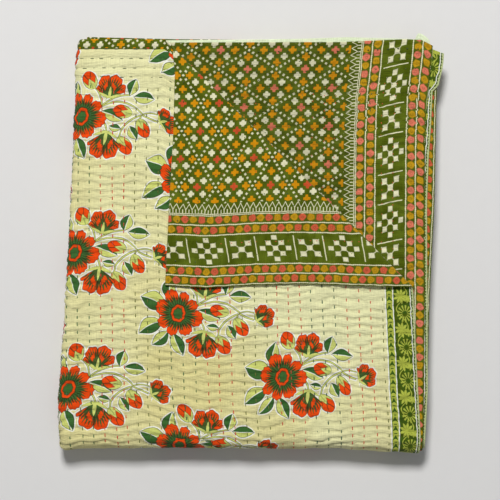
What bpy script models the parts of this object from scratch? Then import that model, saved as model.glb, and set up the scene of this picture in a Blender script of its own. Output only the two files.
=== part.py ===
"""A running-stitched cotton bedspread, folded in half four times, with one corner turned back.

Two printed cloths, the front and the back, are sewn together all over. Each is one closed solid here.
Both start flat, front up, with the corner that shows at the stack's far right. The corner is turned
back over the front first. Then each fold in FOLDS tucks the half that lies past it under the rest.
Metres: +X to the right, +Y away from the last fold, +Z up, with the stack's underside at Z = 0.
"""

import math
from collections import namedtuple

import bmesh
import bpy
import numpy as np

X, Y, Z = 0, 1, 2

# The folded stack, before it leans
STACK_WIDTH = 0.457
STACK_LENGTH = 0.514
CLOTH = 0.0010
PLY_GAP = 0.0003
LAYER_GAP = 0.0005
QUILT = 2 * CLOTH + PLY_GAP

# Folds: the flat length that each bend is made from, and how square its half circle is.
# The first fold on an axis turns back short of the hems by its inset. The last sets the stack's edge.
BEND_SPAN = 0.012
BEND_SQUARENESS = 2.6

Fold = namedtuple("Fold", "axis steps inset")
FOLDS = (
    Fold(axis=X, steps=4, inset=0.014),
    Fold(axis=Y, steps=5, inset=0.012),
    Fold(axis=X, steps=6, inset=0.0),
    Fold(axis=Y, steps=8, inset=0.0),
)
# Cells across each panel between two folds, and one more line this far in from each hem
PANEL_CELLS = 4
HEM_CELL = 0.036

# The corner that is turned back: two places on its crease, and how it bends and settles
CREASE_TOP = (-0.1090, 0.2499)
CREASE_RIGHT = (0.2086, -0.0532)
TURN_RADIUS = 0.0015
TURN_STEPS = 6
SETTLE_REACH = (0.008, 0.022)
SETTLE_DROP = 0.0019

# Rows of puckers that the running stitches raise, where they show
RIDGE_PITCH = 0.0109
RIDGE_HEIGHT = 0.0007
RIDGE_CELL = 0.038
RIDGE_CLEAR = 0.007

# How far each hem stands out of the even stack, by the distance along it from the first corner named
Hem = namedtuple("Hem", "along out")
RIGHT_HEM = (  # from the turned corner down the top layer, then back up the fourth
    Hem(0.000, -0.0355),
    Hem(0.076, -0.0321),
    Hem(0.151, -0.0286),
    Hem(0.307, -0.0228),
    Hem(0.406, -0.0144),
    Hem(0.490, -0.0088),
    Hem(0.560, -0.0080),
    Hem(1.470, -0.0040),
    Hem(1.520, -0.0013),
    Hem(1.679, -0.0022),
    Hem(1.779, 0.0004),
    Hem(1.943, 0.0004),
    Hem(1.967, 0.0075),
    Hem(1.980, 0.0060),
)
LEFT_HEM = (  # from the second layer's corner, then back up the third to its own
    Hem(0.000, -0.0080),
    Hem(0.070, -0.0109),
    Hem(0.200, -0.0078),
    Hem(0.320, -0.0056),
    Hem(0.490, -0.0050),
    Hem(0.560, -0.0080),
    Hem(1.470, -0.0030),
    Hem(1.540, -0.0008),
    Hem(1.661, -0.0030),
    Hem(1.779, -0.0052),
    Hem(1.904, -0.0084),
    Hem(1.966, -0.0065),
)
FAR_HEM = (  # from the turned corner along the top layer, then back along the second
    Hem(0.000, -0.0045),
    Hem(0.230, -0.0085),
    Hem(0.338, -0.0010),
    Hem(0.446, -0.0006),
    Hem(0.520, -0.0040),
    Hem(1.300, -0.0050),
    Hem(1.670, -0.0040),
    Hem(1.756, -0.0004),
    Hem(1.778, -0.0012),
    Hem(1.792, -0.0080),
)
NEAR_HEM = (  # from the fourth layer's corner, then back along the third
    Hem(0.000, -0.0135),
    Hem(0.014, -0.0040),
    Hem(0.036, -0.0015),
    Hem(0.338, 0.0008),
    Hem(0.446, 0.0035),
    Hem(0.520, -0.0020),
    Hem(1.300, -0.0020),
    Hem(1.600, 0.0004),
    Hem(1.670, 0.0030),
    Hem(1.756, 0.0010),
    Hem(1.778, 0.0095),
    Hem(1.792, -0.0040),
)

# How the whole stack sits: its lean, and how far its sides stand out and its height varies
LEAN = 0.030
Station = namedtuple("Station", "share out swell")
UP_THE_LEFT = (  # share runs from the near end to the far end
    Station(0.00, 0.0030, 0.000),
    Station(0.13, 0.0072, 0.010),
    Station(0.25, 0.0038, 0.016),
    Station(0.50, 0.0000, 0.004),
    Station(0.75, -0.0026, -0.010),
    Station(0.96, -0.0028, -0.020),
    Station(1.00, -0.0068, -0.022),
)
ALONG_THE_NEAR = (  # share runs from the left to the right
    Station(0.00, 0.0020, 0.000),
    Station(0.06, -0.0012, -0.006),
    Station(0.30, -0.0016, -0.012),
    Station(0.60, -0.0008, 0.004),
    Station(0.74, -0.0016, -0.003),
    Station(0.90, 0.0033, -0.010),
    Station(1.00, 0.0056, -0.018),
)

Cloth = namedtuple("Cloth", "name bottom faces_up colour roughness")
CLOTHS = (
    Cloth("front_cloth", QUILT - CLOTH, True, (0.80, 0.82, 0.52), 0.9),
    Cloth("back_cloth", 0.0, False, (0.13, 0.20, 0.03), 0.9),
)


def heights():
    """The pad's height before each fold, and the finished stack's last."""
    found = [QUILT]
    for _ in FOLDS:
        found.append(2 * found[-1] + LAYER_GAP)
    return found


def fold_lines():
    """Where each fold starts. The last fold on an axis sets the stack's edge, and the first meets its far side."""
    edge = {X: -STACK_WIDTH / 2, Y: -STACK_LENGTH / 2}
    far = {X: STACK_WIDTH / 2, Y: STACK_LENGTH / 2}
    lines = [0.0] * len(FOLDS)
    for number in reversed(range(len(FOLDS))):
        fold = FOLDS[number]
        if fold.inset:
            last = lines[number + 2]
            lines[number] = last - BEND_SPAN - (far[fold.axis] - fold.inset - last)
        else:
            lines[number] = edge[fold.axis] + LAYER_GAP / 2 + heights()[number]
    return lines


def unfolded(stations, line, steps):
    """Stations on the kept side of a fold, with those of its bend and of the half that it tucks under."""
    bend = [line - BEND_SPAN * k / steps for k in range(1, steps)]
    tucked = [2 * line - BEND_SPAN - s for s in stations]
    return sorted(set(stations) | set(bend) | set(tucked))


def grid_stations(axis):
    """The flat cloth's grid lines on one axis."""
    lines = fold_lines()
    first, last = (n for n, fold in enumerate(FOLDS) if fold.axis == axis)
    far = (STACK_WIDTH, STACK_LENGTH)[axis] / 2
    turn = far - FOLDS[first].inset
    stations = [lines[last] + (turn - lines[last]) * k / PANEL_CELLS for k in range(PANEL_CELLS + 1)]
    stations = unfolded(stations, lines[last], FOLDS[last].steps)
    stations[0] = lines[first]
    stations.append(far)
    stations = unfolded(stations, lines[first], FOLDS[first].steps)
    return sorted(stations + [stations[0] + HEM_CELL, stations[-1] - HEM_CELL])


def hem_shift(hem, along):
    """How far a hem stands out at some distances along it."""
    return np.interp(along, [row.along for row in hem], [row.out for row in hem])


def drawn_to_hems(flat, xs, ys):
    """The flat grid's points, with each outer panel stretched or drawn in to its hem."""
    lines = fold_lines()
    inner = (lines[2], lines[3])
    moved = flat.copy()
    for axis, stations, low_hem, high_hem in ((X, xs, LEFT_HEM, RIGHT_HEM), (Y, ys, NEAR_HEM, FAR_HEM)):
        other = (ys, xs)[axis]
        along = other[-1] - flat[:, 1 - axis]
        panel = stations[-1] - inner[axis]
        high = np.clip((flat[:, axis] - inner[axis]) / panel, 0, 1)
        low = np.clip((stations[0] + panel - flat[:, axis]) / panel, 0, 1)
        moved[:, axis] += high * hem_shift(high_hem, along) - low * hem_shift(low_hem, along)
    return moved


def crease():
    """A place on the line where the corner starts to bend, and the direction from there to the corner."""
    top, right = np.array(CREASE_TOP), np.array(CREASE_RIGHT)
    run = (right - top) / np.linalg.norm(right - top)
    outward = np.array((-run[1], run[0]))
    return top - outward * (TURN_RADIUS + QUILT), outward


def turn_span():
    """The cloth that the turned corner's bend takes."""
    return math.pi * (TURN_RADIUS + QUILT / 2)


def past_crease(flat):
    """How far past the crease's start each point of the top layer lies. Other layers are far before it."""
    start, outward = crease()
    on_top = (flat[:, X] > fold_lines()[2]) & (flat[:, Y] > fold_lines()[3])
    return np.where(on_top, (flat[:, :2] - start) @ outward, -STACK_LENGTH)


def squared(angle):
    """How much further out than a circle the flattened bend lies at an angle."""
    n = BEND_SQUARENESS
    return (np.abs(np.cos(angle)) ** n + np.abs(np.sin(angle)) ** n) ** (-1 / n)


def turn_corner_back(points):
    """Turns the top layer's corner up and over, and lets it settle on the layer under it."""
    start, outward = crease()
    past = past_crease(points)
    over = past > 0
    angle = np.clip(past / turn_span(), 0, 1) * math.pi
    radius = TURN_RADIUS + QUILT - points[:, Z]
    along = radius * np.sin(angle) - np.maximum(past - turn_span(), 0)
    near, far = SETTLE_REACH
    share = np.clip((past - turn_span() - near) / (far - near), 0, 1)
    turned = points.copy()
    turned[:, :2] += outward * (along - past)[:, None]
    turned[:, Z] = QUILT + TURN_RADIUS - radius * np.cos(angle) - SETTLE_DROP * share
    return np.where(over[:, None], turned, points)


def tuck_under(points, axis, line, height):
    """Wraps what lies past a fold down and under the rest, and stands the result on Z = 0."""
    past = line - points[:, axis]
    angle = np.clip(past / BEND_SPAN, 0, 1) * math.pi
    reach = (LAYER_GAP / 2 + points[:, Z]) * squared(angle)
    tucked = points.copy()
    kept = np.maximum(-past, 0) + np.maximum(past - BEND_SPAN, 0)
    tucked[:, axis] = line + kept - reach * np.sin(angle)
    tucked[:, Z] = reach * np.cos(angle) + LAYER_GAP / 2 + height
    return tucked


def read_stations(stations, share):
    """How far the stack stands out, and how much higher it is, at some shares of its width or length."""
    shares = [row.share for row in stations]
    out = np.interp(share, shares, [row.out for row in stations])
    return out, np.interp(share, shares, [row.swell for row in stations])


def settled(points):
    """The even stack as it lies: leaning, with uneven sides, and a little higher in places."""
    across = points[:, X] / STACK_WIDTH + 0.5
    along = points[:, Y] / STACK_LENGTH + 0.5
    left, swell_along = read_stations(UP_THE_LEFT, along)
    near, swell_across = read_stations(ALONG_THE_NEAR, across)
    lying = points.copy()
    lying[:, X] += LEAN * points[:, Y] - left * np.clip(1 - across, 0, 1)
    lying[:, Y] -= near * np.clip(1 - along, 0, 1)
    lying[:, Z] *= 1 + swell_along + swell_across
    return lying


def folded(points):
    """Flat points, with their height in the quilt, taken through the turned corner and every fold."""
    points = turn_corner_back(points)
    for fold, line, height in zip(FOLDS, fold_lines(), heights()):
        points = tuck_under(points, fold.axis, line, height)
    return settled(points)


def layer_panels():
    """The low and high corners, in the flat, of the top layer and of the one under it."""
    first, _, third, fourth = fold_lines()
    right = STACK_WIDTH / 2
    top = ((third, fourth), (right, STACK_LENGTH / 2))
    second_left = 2 * first - BEND_SPAN - right
    second = ((second_left, fourth), (second_left + right - third, STACK_LENGTH / 2))
    return top, second


def beyond_turned_hems(points):
    """How far each top-layer point lies outside the turned-back corner's own two hems."""
    start, outward = crease()
    past = (points[:, :2] - start) @ outward
    mirror = points[:, :2] + outward * (turn_span() - 2 * past)[:, None]
    right = STACK_WIDTH / 2 + hem_shift(RIGHT_HEM, STACK_LENGTH / 2 - mirror[:, Y])
    return np.maximum(mirror[:, X] - right, mirror[:, Y] - STACK_LENGTH / 2)


def ridge_share(points, faces_up):
    """Where puckers show on a cloth's outer face: 1 there, 0 where another layer covers it or it bends."""
    (low, high), (second_low, second_high) = layer_panels()
    if faces_up:
        covered = np.minimum(beyond_turned_hems(points), -past_crease(points) - 2 * QUILT)
        sides = np.minimum(points[:, X] - low[X], points[:, Y] - low[Y])
        clear = np.minimum(covered, sides)
    else:
        turned = past_crease(points) - turn_span()
        mirrored = points.copy()
        mirrored[:, X] = second_low[X] + high[X] - points[:, X]
        on_second = points[:, X] < second_high[X]
        seen = np.minimum(past_crease(mirrored) - 2 * QUILT, points[:, Y] - low[Y])
        clear = np.where(on_second, seen, turned)
    return np.clip(clear / RIDGE_CLEAR - 1, 0, 1)


def ridge_height(points):
    """The puckers' height: long low waves across the stitch rows, no two quite alike."""
    count = points[:, Y] / RIDGE_PITCH
    number = np.round(count)
    wave = 1 - 2 * np.abs(count - number)
    uneven = 0.72 + 0.28 * np.sin(2.3 * number + 21.0 * points[:, X]) * np.cos(0.7 * number - 34.0 * points[:, X])
    return RIDGE_HEIGHT * wave * uneven


def cut_along(shape, faces, place, normal):
    """Cuts some faces of a flat mesh along a line, and returns them with the pieces that the cut made."""
    edges = {edge for face in faces for edge in face.edges}
    verts = {vert for face in faces for vert in face.verts}
    made = bmesh.ops.bisect_plane(
        shape,
        geom=list(faces) + list(edges) + list(verts),
        dist=1e-6,
        plane_co=(*place, 0),
        plane_no=(*normal, 0),
    )
    return [item for item in made["geom"] if isinstance(item, bmesh.types.BMFace)]


def panel_faces(shape, panel):
    """The flat mesh's faces whose middles lie in a panel."""
    (x0, y0), (x1, y1) = panel
    found = []
    for face in shape.faces:
        middle = face.calc_center_median()
        if x0 < middle.x < x1 and y0 < middle.y < y1:
            found.append(face)
    return found


def shown_faces(faces, faces_up):
    """Those faces with a corner, or their middle, where puckers show."""
    found = []
    for face in faces:
        places = [vert.co[:] for vert in face.verts] + [face.calc_center_median()[:]]
        if ridge_share(np.array(places), faces_up).max() > 0:
            found.append(face)
    return found


def cut_for_corner(shape, top_panel):
    """Cuts the top layer where its corner starts to bend, at each step of the bend, and where it settles."""
    start, outward = crease()
    steps = [turn_span() * k / TURN_STEPS for k in range(TURN_STEPS + 1)]
    steps += [turn_span() + reach for reach in SETTLE_REACH]
    faces = panel_faces(shape, top_panel)
    for step in steps:
        faces = cut_along(shape, faces, start + outward * step, outward)


def cut_for_ridges(shape, panels, faces_up):
    """Cuts the shown places finely enough for the puckers."""
    for panel in panels:
        faces = shown_faces(panel_faces(shape, panel), faces_up)
        if not faces:
            continue
        (x0, y0), (x1, y1) = panel
        for number in range(math.ceil(2 * y0 / RIDGE_PITCH), math.ceil(2 * y1 / RIDGE_PITCH)):
            faces = cut_along(shape, faces, (0, number * RIDGE_PITCH / 2), (0, 1))
        for number in range(math.ceil(x0 / RIDGE_CELL), math.ceil(x1 / RIDGE_CELL)):
            faces = cut_along(shape, faces, (number * RIDGE_CELL, 0), (1, 0))


def flat_cloth():
    """The flat cloth as one layer of four-sided faces between its grid lines."""
    xs, ys = grid_stations(X), grid_stations(Y)
    flat = np.array([(x, y, 0.0) for y in ys for x in xs])
    shape = bmesh.new()
    verts = [shape.verts.new(place) for place in drawn_to_hems(flat, xs, ys)]
    for row in range(len(ys) - 1):
        for column in range(len(xs) - 1):
            corner = row * len(xs) + column
            ring = (corner, corner + 1, corner + 1 + len(xs), corner + len(xs))
            shape.faces.new([verts[n] for n in ring])
    return shape


def build_cloth(cloth):
    """One cloth as a closed solid in its own object."""
    panels = layer_panels()
    shape = flat_cloth()
    cut_for_corner(shape, panels[0])
    cut_for_ridges(shape, panels, cloth.faces_up)
    bmesh.ops.triangulate(shape, faces=list(shape.faces))
    made = bmesh.ops.extrude_face_region(shape, geom=list(shape.faces))
    upper = {item for item in made["geom"] if isinstance(item, bmesh.types.BMVert)}

    verts = list(shape.verts)
    points = np.array([vert.co[:] for vert in verts])
    is_upper = np.array([vert in upper for vert in verts])
    raised = ridge_share(points, cloth.faces_up) * ridge_height(points)
    points[:, Z] = cloth.bottom + CLOTH * is_upper
    points[:, Z] += np.where(is_upper == cloth.faces_up, raised if cloth.faces_up else -raised, 0)
    for vert, place in zip(verts, folded(points)):
        vert.co = place
    bmesh.ops.recalc_face_normals(shape, faces=list(shape.faces))

    mesh = bpy.data.meshes.new(cloth.name)
    shape.to_mesh(mesh)
    shape.free()
    mesh.materials.append(cotton(cloth))
    made_object = bpy.data.objects.new(cloth.name, mesh)
    bpy.context.scene.collection.objects.link(made_object)
    return made_object


def cotton(cloth):
    """A plain cotton finish in the cloth's ground colour."""
    material = bpy.data.materials.new(cloth.name)
    material.use_nodes = True
    shader = material.node_tree.nodes["Principled BSDF"]
    shader.inputs["Base Color"].default_value = (*cloth.colour, 1)
    shader.inputs["Roughness"].default_value = cloth.roughness
    return material


def centre(made):
    """Moves the finished cloths so that the origin is under the middle of their box."""
    points = np.array([vert.co[:] for item in made for vert in item.data.vertices])
    middle = (points.min(axis=0) + points.max(axis=0)) / 2
    for item in made:
        item.location = (-middle[X], -middle[Y], 0)


def main():
    for item in list(bpy.data.objects):
        bpy.data.objects.remove(item)
    centre([build_cloth(cloth) for cloth in CLOTHS])


main()
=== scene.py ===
"""A running-stitched cotton bedspread of two printed cloths, folded into a stack with one corner turned back.

Everything is in metres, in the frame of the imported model: +X to the right, +Y away from the last fold,
+Z up, with the stack's underside at Z = 0. The cloth is worked out flat, front up, and then taken
through the turned corner and the four folds. Prints and stitches are measured on the flat cloth:
"across" is the distance in from the right hem, and "down" is the distance from the far hem.
"""

import logging
import math
from dataclasses import dataclass, field
from enum import Enum
from typing import Callable, NamedTuple, Sequence

import bmesh
import bpy
import numpy as np
from bpy.types import Material, Node, NodeSocket, NodeTree, Object
from mathutils import Matrix, Vector

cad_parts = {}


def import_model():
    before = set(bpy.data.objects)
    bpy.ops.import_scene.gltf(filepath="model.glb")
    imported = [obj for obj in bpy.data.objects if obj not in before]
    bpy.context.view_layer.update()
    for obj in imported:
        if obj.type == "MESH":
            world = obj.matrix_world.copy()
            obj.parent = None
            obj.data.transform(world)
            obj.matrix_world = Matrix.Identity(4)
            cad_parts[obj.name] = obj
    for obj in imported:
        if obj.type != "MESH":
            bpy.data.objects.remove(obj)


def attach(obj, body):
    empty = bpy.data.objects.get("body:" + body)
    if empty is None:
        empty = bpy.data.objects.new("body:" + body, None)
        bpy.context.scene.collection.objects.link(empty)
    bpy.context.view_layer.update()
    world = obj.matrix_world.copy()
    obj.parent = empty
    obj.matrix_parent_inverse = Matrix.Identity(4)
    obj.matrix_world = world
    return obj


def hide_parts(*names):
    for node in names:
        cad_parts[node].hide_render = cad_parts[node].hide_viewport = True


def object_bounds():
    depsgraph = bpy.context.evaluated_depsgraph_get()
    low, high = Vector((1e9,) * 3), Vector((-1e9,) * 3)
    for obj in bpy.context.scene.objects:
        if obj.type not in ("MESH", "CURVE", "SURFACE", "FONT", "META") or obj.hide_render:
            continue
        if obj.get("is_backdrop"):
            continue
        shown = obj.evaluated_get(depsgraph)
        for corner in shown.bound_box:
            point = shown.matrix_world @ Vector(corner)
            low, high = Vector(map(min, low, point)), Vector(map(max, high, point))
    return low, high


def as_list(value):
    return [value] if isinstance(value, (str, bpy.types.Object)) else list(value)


LOG = logging.getLogger("bedspread")

X, Y, Z = 0, 1, 2
Table = Sequence[tuple[float, float]]


def smooth(share: np.ndarray) -> np.ndarray:
    """A soft step from 0 to 1 as the share goes from 0 to 1."""
    share = np.clip(share, 0, 1)
    return share * share * (3 - 2 * share)


def add_object(name: str, data: bpy.types.ID) -> Object:
    """Makes an object of a mesh, a light or a camera, and puts it in the scene."""
    made = bpy.data.objects.new(name, data)
    bpy.context.scene.collection.objects.link(made)
    return made


class Side(Enum):
    """Which of the two cloths something belongs to."""

    FRONT = "front"
    BACK = "back"


class Fold(NamedTuple):
    """One fold in half.

    Attributes:
        axis: X or Y, the direction that the fold shortens.
        steps: straight facets round the bend.
        inset: how far short of the hems the tucked half turns back, or 0 for a last fold.
        arc: length of cloth that the outermost sheet takes round the bend.
    """

    axis: int
    steps: int
    inset: float
    arc: float


@dataclass(frozen=True)
class FoldedStack:
    """The fold plan: the even stack's sizes, its hems and how it lies, and the map from flat cloth to it.

    Attributes:
        width: the even stack's size along X.
        length: its size along Y.
        cloth: thickness of one cloth.
        ply_gap: room between the two cloths.
        layer_gap: room between two folded layers.
        bend_span: flat cloth that each bend takes.
        squareness: how square the bends are, where 2 is round.
        panel_cells: cells of the main grid along a panel.
        hem_cell: the last cell's size at a hem.
        folds: the folds, first one first.
        crease_top: where the turned corner's crease meets the far side.
        crease_right: where it meets the right side.
        turn_radius: the crease's inner radius.
        turn_steps: its facets.
        settle_reach: where past the crease the turned corner starts to settle, and where it has.
        settle_drop: how far it settles.
        lean: how far the stack leans to the right, as a share of the distance up it.
        middle: middle of the lying stack's box, in its own frame.
        right_hem: how far the right hem stands out, by the distance from the turned corner.
        left_hem: the same of the left hem, from its far end.
        far_hem: the same of the far hem, from the turned corner.
        near_hem: the same of the near hem, from its right end.
        up_the_left: how far the left side stands out and the height swells, by the share up the stack.
        along_the_near: the same of the near side, by the share from the left.
        lift_reach: how far past the crease the turned corner's lift is reached.
        lift_heights: how high it stands up near the crease's right end, and its waves elsewhere.
    """

    width: float = 0.457
    length: float = 0.514
    cloth: float = 0.0010
    ply_gap: float = 0.0003
    layer_gap: float = 0.0005
    bend_span: float = 0.012
    squareness: float = 2.6
    panel_cells: int = 4
    hem_cell: float = 0.036
    folds: tuple[Fold, ...] = (
        Fold(X, 8, 0.014, 0.005),
        Fold(Y, 10, 0.012, 0.010),
        Fold(X, 12, 0.0, 0.0375),
        Fold(Y, 16, 0.0, 0.0760),
    )
    crease_top: tuple[float, float] = (-0.1090, 0.2499)
    crease_right: tuple[float, float] = (0.2086, -0.0532)
    turn_radius: float = 0.0015
    turn_steps: int = 10
    settle_reach: tuple[float, float] = (0.008, 0.022)
    settle_drop: float = 0.0017
    lean: float = 0.030
    middle: tuple[float, float] = (0.00074, 0.00221)
    lift_reach: float = 0.022
    lift_heights: tuple[float, float] = (0.0028, 0.0005)
    right_hem: Table = (
        (0.000, -0.0362), (0.050, -0.0312), (0.110, -0.0322), (0.160, -0.0312),
        (0.230, -0.0262), (0.307, -0.0238), (0.406, -0.0160), (0.490, -0.0088),
        (0.560, -0.0080), (1.470, -0.0040), (1.520, -0.0013), (1.679, -0.0022),
        (1.779, 0.0004), (1.943, -0.0010), (1.967, 0.0050), (1.980, 0.0040),
    )
    left_hem: Table = (
        (0.000, -0.0080), (0.030, -0.0098), (0.070, -0.0139), (0.120, -0.0140),
        (0.200, -0.0122), (0.320, -0.0086), (0.406, -0.0068), (0.490, -0.0050),
        (0.560, -0.0080), (1.470, -0.0030), (1.540, -0.0008), (1.661, -0.0048),
        (1.779, -0.0090), (1.830, -0.0094), (1.886, -0.0070), (1.932, -0.0062),
        (1.938, 0.0010), (1.947, 0.0026), (1.958, 0.0052), (1.969, 0.0064),
        (1.980, 0.0068),
    )
    far_hem: Table = (
        (0.000, 0.0008), (0.100, -0.0036), (0.200, -0.0092), (0.290, -0.0128),
        (0.322, -0.0100), (0.338, -0.0010), (0.446, -0.0006), (0.520, -0.0040),
        (1.300, -0.0050), (1.670, -0.0040), (1.756, -0.0004), (1.778, -0.0012),
        (1.792, -0.0080),
    )
    near_hem: Table = (
        (0.000, -0.0190), (0.014, -0.0110), (0.036, -0.0015), (0.338, 0.0008),
        (0.446, 0.0035), (0.520, -0.0020), (1.300, -0.0020), (1.600, 0.0004),
        (1.670, 0.0030), (1.757, 0.0006), (1.759, 0.0084), (1.765, 0.0068),
        (1.770, 0.0035), (1.7745, -0.0010), (1.777, -0.0110), (1.779, -0.0122),
        (1.792, -0.0172),
    )
    up_the_left: Sequence[tuple[float, float, float]] = (
        (0.00, 0.0030, 0.000), (0.13, 0.0072, 0.010), (0.25, 0.0038, 0.016),
        (0.50, 0.0000, 0.004), (0.75, -0.0026, -0.010), (0.96, -0.0028, -0.020),
        (1.00, -0.0068, -0.022),
    )
    along_the_near: Sequence[tuple[float, float, float]] = (
        (0.00, 0.0020, 0.000), (0.06, -0.0012, -0.006), (0.30, -0.0016, -0.012),
        (0.60, -0.0008, 0.004), (0.74, -0.0016, -0.003), (0.90, 0.0033, -0.010),
        (1.00, 0.0056, -0.018),
    )

    @property
    def quilt(self) -> float:
        """Thickness of the two cloths together."""
        return 2 * self.cloth + self.ply_gap

    def heights(self) -> list[float]:
        """The pad's height before each fold, and the finished stack's last."""
        found = [self.quilt]
        for _ in self.folds:
            found.append(2 * found[-1] + self.layer_gap)
        return found

    def pair(self, axis: int) -> tuple[int, int]:
        """The numbers of the first and the last fold on one axis."""
        first, last = (number for number, fold in enumerate(self.folds) if fold.axis == axis)
        return first, last

    def fold_lines(self) -> list[float]:
        """Where each fold starts on the flat cloth."""
        edge = {X: -self.width / 2, Y: -self.length / 2}
        lines = [0.0] * len(self.folds)
        for number in reversed(range(len(self.folds))):
            fold = self.folds[number]
            if fold.inset:
                last = lines[number + 2]
                lines[number] = last - self.bend_span - (-edge[fold.axis] - fold.inset - last)
            else:
                lines[number] = edge[fold.axis] + self.layer_gap / 2 + self.heights()[number]
        return lines

    def unfolded(self, stations: list[float], line: float, steps: int) -> list[float]:
        """Adds a bend's stations and those of the half that it tucks under.

        Args:
            stations: grid lines on the kept side.
            line: where the bend starts.
            steps: facets of the bend.

        Returns:
            All the stations, lowest first.
        """
        bend = [line - self.bend_span * k / steps for k in range(1, steps)]
        tucked = [2 * line - self.bend_span - s for s in stations]
        return sorted(set(stations) | set(bend) | set(tucked))

    def stations(self, axis: int) -> list[float]:
        """The flat cloth's main grid lines on one axis."""
        lines = self.fold_lines()
        first, last = self.pair(axis)
        far = (self.width, self.length)[axis] / 2
        turn = far - self.folds[first].inset
        cells = self.panel_cells
        found = [lines[last] + (turn - lines[last]) * k / cells for k in range(cells + 1)]
        found = self.unfolded(found, lines[last], self.folds[last].steps)
        found[0] = lines[first]
        found.append(far)
        found = self.unfolded(found, lines[first], self.folds[first].steps)
        return sorted(found + [found[0] + self.hem_cell, found[-1] - self.hem_cell])

    def limits(self, axis: int) -> tuple[float, float]:
        """The flat cloth's lowest and highest place on one axis."""
        far = (self.width, self.length)[axis] / 2
        return 2 * self.fold_lines()[self.pair(axis)[0]] - self.bend_span - far, far

    def hem_shift(self, hem: Table, along: np.ndarray) -> np.ndarray:
        """How far a hem stands out at some distances along it."""
        return np.interp(along, [row[0] for row in hem], [row[1] for row in hem])

    def slow_shift(self, hem: Table, along: np.ndarray) -> np.ndarray:
        """The same without the hem's short turns, such as a rounded corner."""
        knots = np.arange(0.03, hem[-1][0] - 0.02, 0.08)
        return np.interp(along, knots, self.hem_shift(hem, knots))

    def hems(self) -> tuple[tuple[int, Table, Table], ...]:
        """Each axis with the hem at its low end and the one at its high end."""
        return (X, self.left_hem, self.right_hem), (Y, self.near_hem, self.far_hem)

    def drawn_to_hems(self, flat: np.ndarray) -> np.ndarray:
        """Stretches or draws in each outer panel of the flat cloth to its hem.

        Args:
            flat: even flat places, one row each.

        Returns:
            The places moved, with their heights kept.
        """
        lines = self.fold_lines()
        moved = flat.copy()
        for axis, low_hem, high_hem in self.hems():
            low_end, high_end = self.limits(axis)
            along = self.limits(1 - axis)[1] - flat[:, 1 - axis]
            panel = high_end - lines[2 + axis]
            high = np.clip((flat[:, axis] - lines[2 + axis]) / panel, 0, 1.02)
            low = np.clip((low_end + panel - flat[:, axis]) / panel, 0, 1.02)
            moved[:, axis] += high * self.hem_shift(high_hem, along)
            moved[:, axis] -= low * self.hem_shift(low_hem, along)
        return moved

    def crease(self) -> tuple[np.ndarray, np.ndarray]:
        """Where the corner starts to bend, and the direction from there to the corner."""
        top, right = np.array(self.crease_top), np.array(self.crease_right)
        run = (right - top) / np.linalg.norm(right - top)
        outward = np.array((-run[1], run[0]))
        return top - outward * (self.turn_radius + self.quilt), outward

    def turn_span(self) -> float:
        """The cloth that the turned corner's bend takes."""
        return math.pi * (self.turn_radius + self.quilt / 2)

    def past_crease(self, flat: np.ndarray) -> np.ndarray:
        """How far past the crease's start each top-layer point lies. Other layers are far before it."""
        start, outward = self.crease()
        lines = self.fold_lines()
        on_top = (flat[:, X] > lines[2]) & (flat[:, Y] > lines[3])
        return np.where(on_top, (flat[:, :2] - start) @ outward, -self.length)

    def lift(self, turned: np.ndarray, past: np.ndarray) -> np.ndarray:
        """How far the turned corner's own edge stands up near the crease's right end.

        Args:
            turned: places with the corner turned over.
            past: how far past the crease each started.

        Returns:
            A height for each place.
        """
        right = np.array(self.crease_right)
        away = np.linalg.norm(turned[:, :2] - right + (0.030, 0.004), axis=1)
        wave = 0.5 + 0.5 * np.sin(turned[:, X] * 52.0)
        near_end = np.exp(-((away / 0.080) ** 2))
        high, ripple = self.lift_heights
        return smooth((past - self.turn_span()) / self.lift_reach) * (high * near_end + ripple * wave)

    def turn_corner_back(self, points: np.ndarray) -> np.ndarray:
        """Turns the top layer's corner up and over, and lets it settle on the layer under it.

        Args:
            points: places drawn to the hems, with their heights in the quilt.

        Returns:
            The places moved.
        """
        start, outward = self.crease()
        past = self.past_crease(points)
        angle = np.clip(past / self.turn_span(), 0, 1) * math.pi
        radius = self.turn_radius + self.quilt - points[:, Z]
        along = radius * np.sin(angle) - np.maximum(past - self.turn_span(), 0)
        near, far = self.settle_reach
        share = smooth((past - self.turn_span() - near) / (far - near))
        turned = points.copy()
        turned[:, :2] += outward * (along - past)[:, None]
        turned[:, Z] = self.quilt + self.turn_radius - radius * np.cos(angle)
        turned[:, Z] += self.lift(turned, past) - self.settle_drop * share
        return np.where((past > 0)[:, None], turned, points)

    def tuck_under(self, points: np.ndarray, axis: int, line: float, height: float) -> np.ndarray:
        """Wraps what lies past a fold down and under the rest, and stands the result on Z = 0.

        Args:
            points: places after the folds before this one.
            axis: X or Y, which the fold shortens.
            line: where the bend starts.
            height: the pad's height before the fold.

        Returns:
            The places moved.
        """
        past = line - points[:, axis]
        angle = np.clip(past / self.bend_span, 0, 1) * math.pi
        n = self.squareness
        out = (np.abs(np.cos(angle)) ** n + np.abs(np.sin(angle)) ** n) ** (-1 / n)
        reach = (self.layer_gap / 2 + points[:, Z]) * out
        kept = np.maximum(-past, 0) + np.maximum(past - self.bend_span, 0)
        tucked = points.copy()
        tucked[:, axis] = line + kept - reach * np.sin(angle)
        tucked[:, Z] = reach * np.cos(angle) + self.layer_gap / 2 + height
        return tucked

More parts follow.
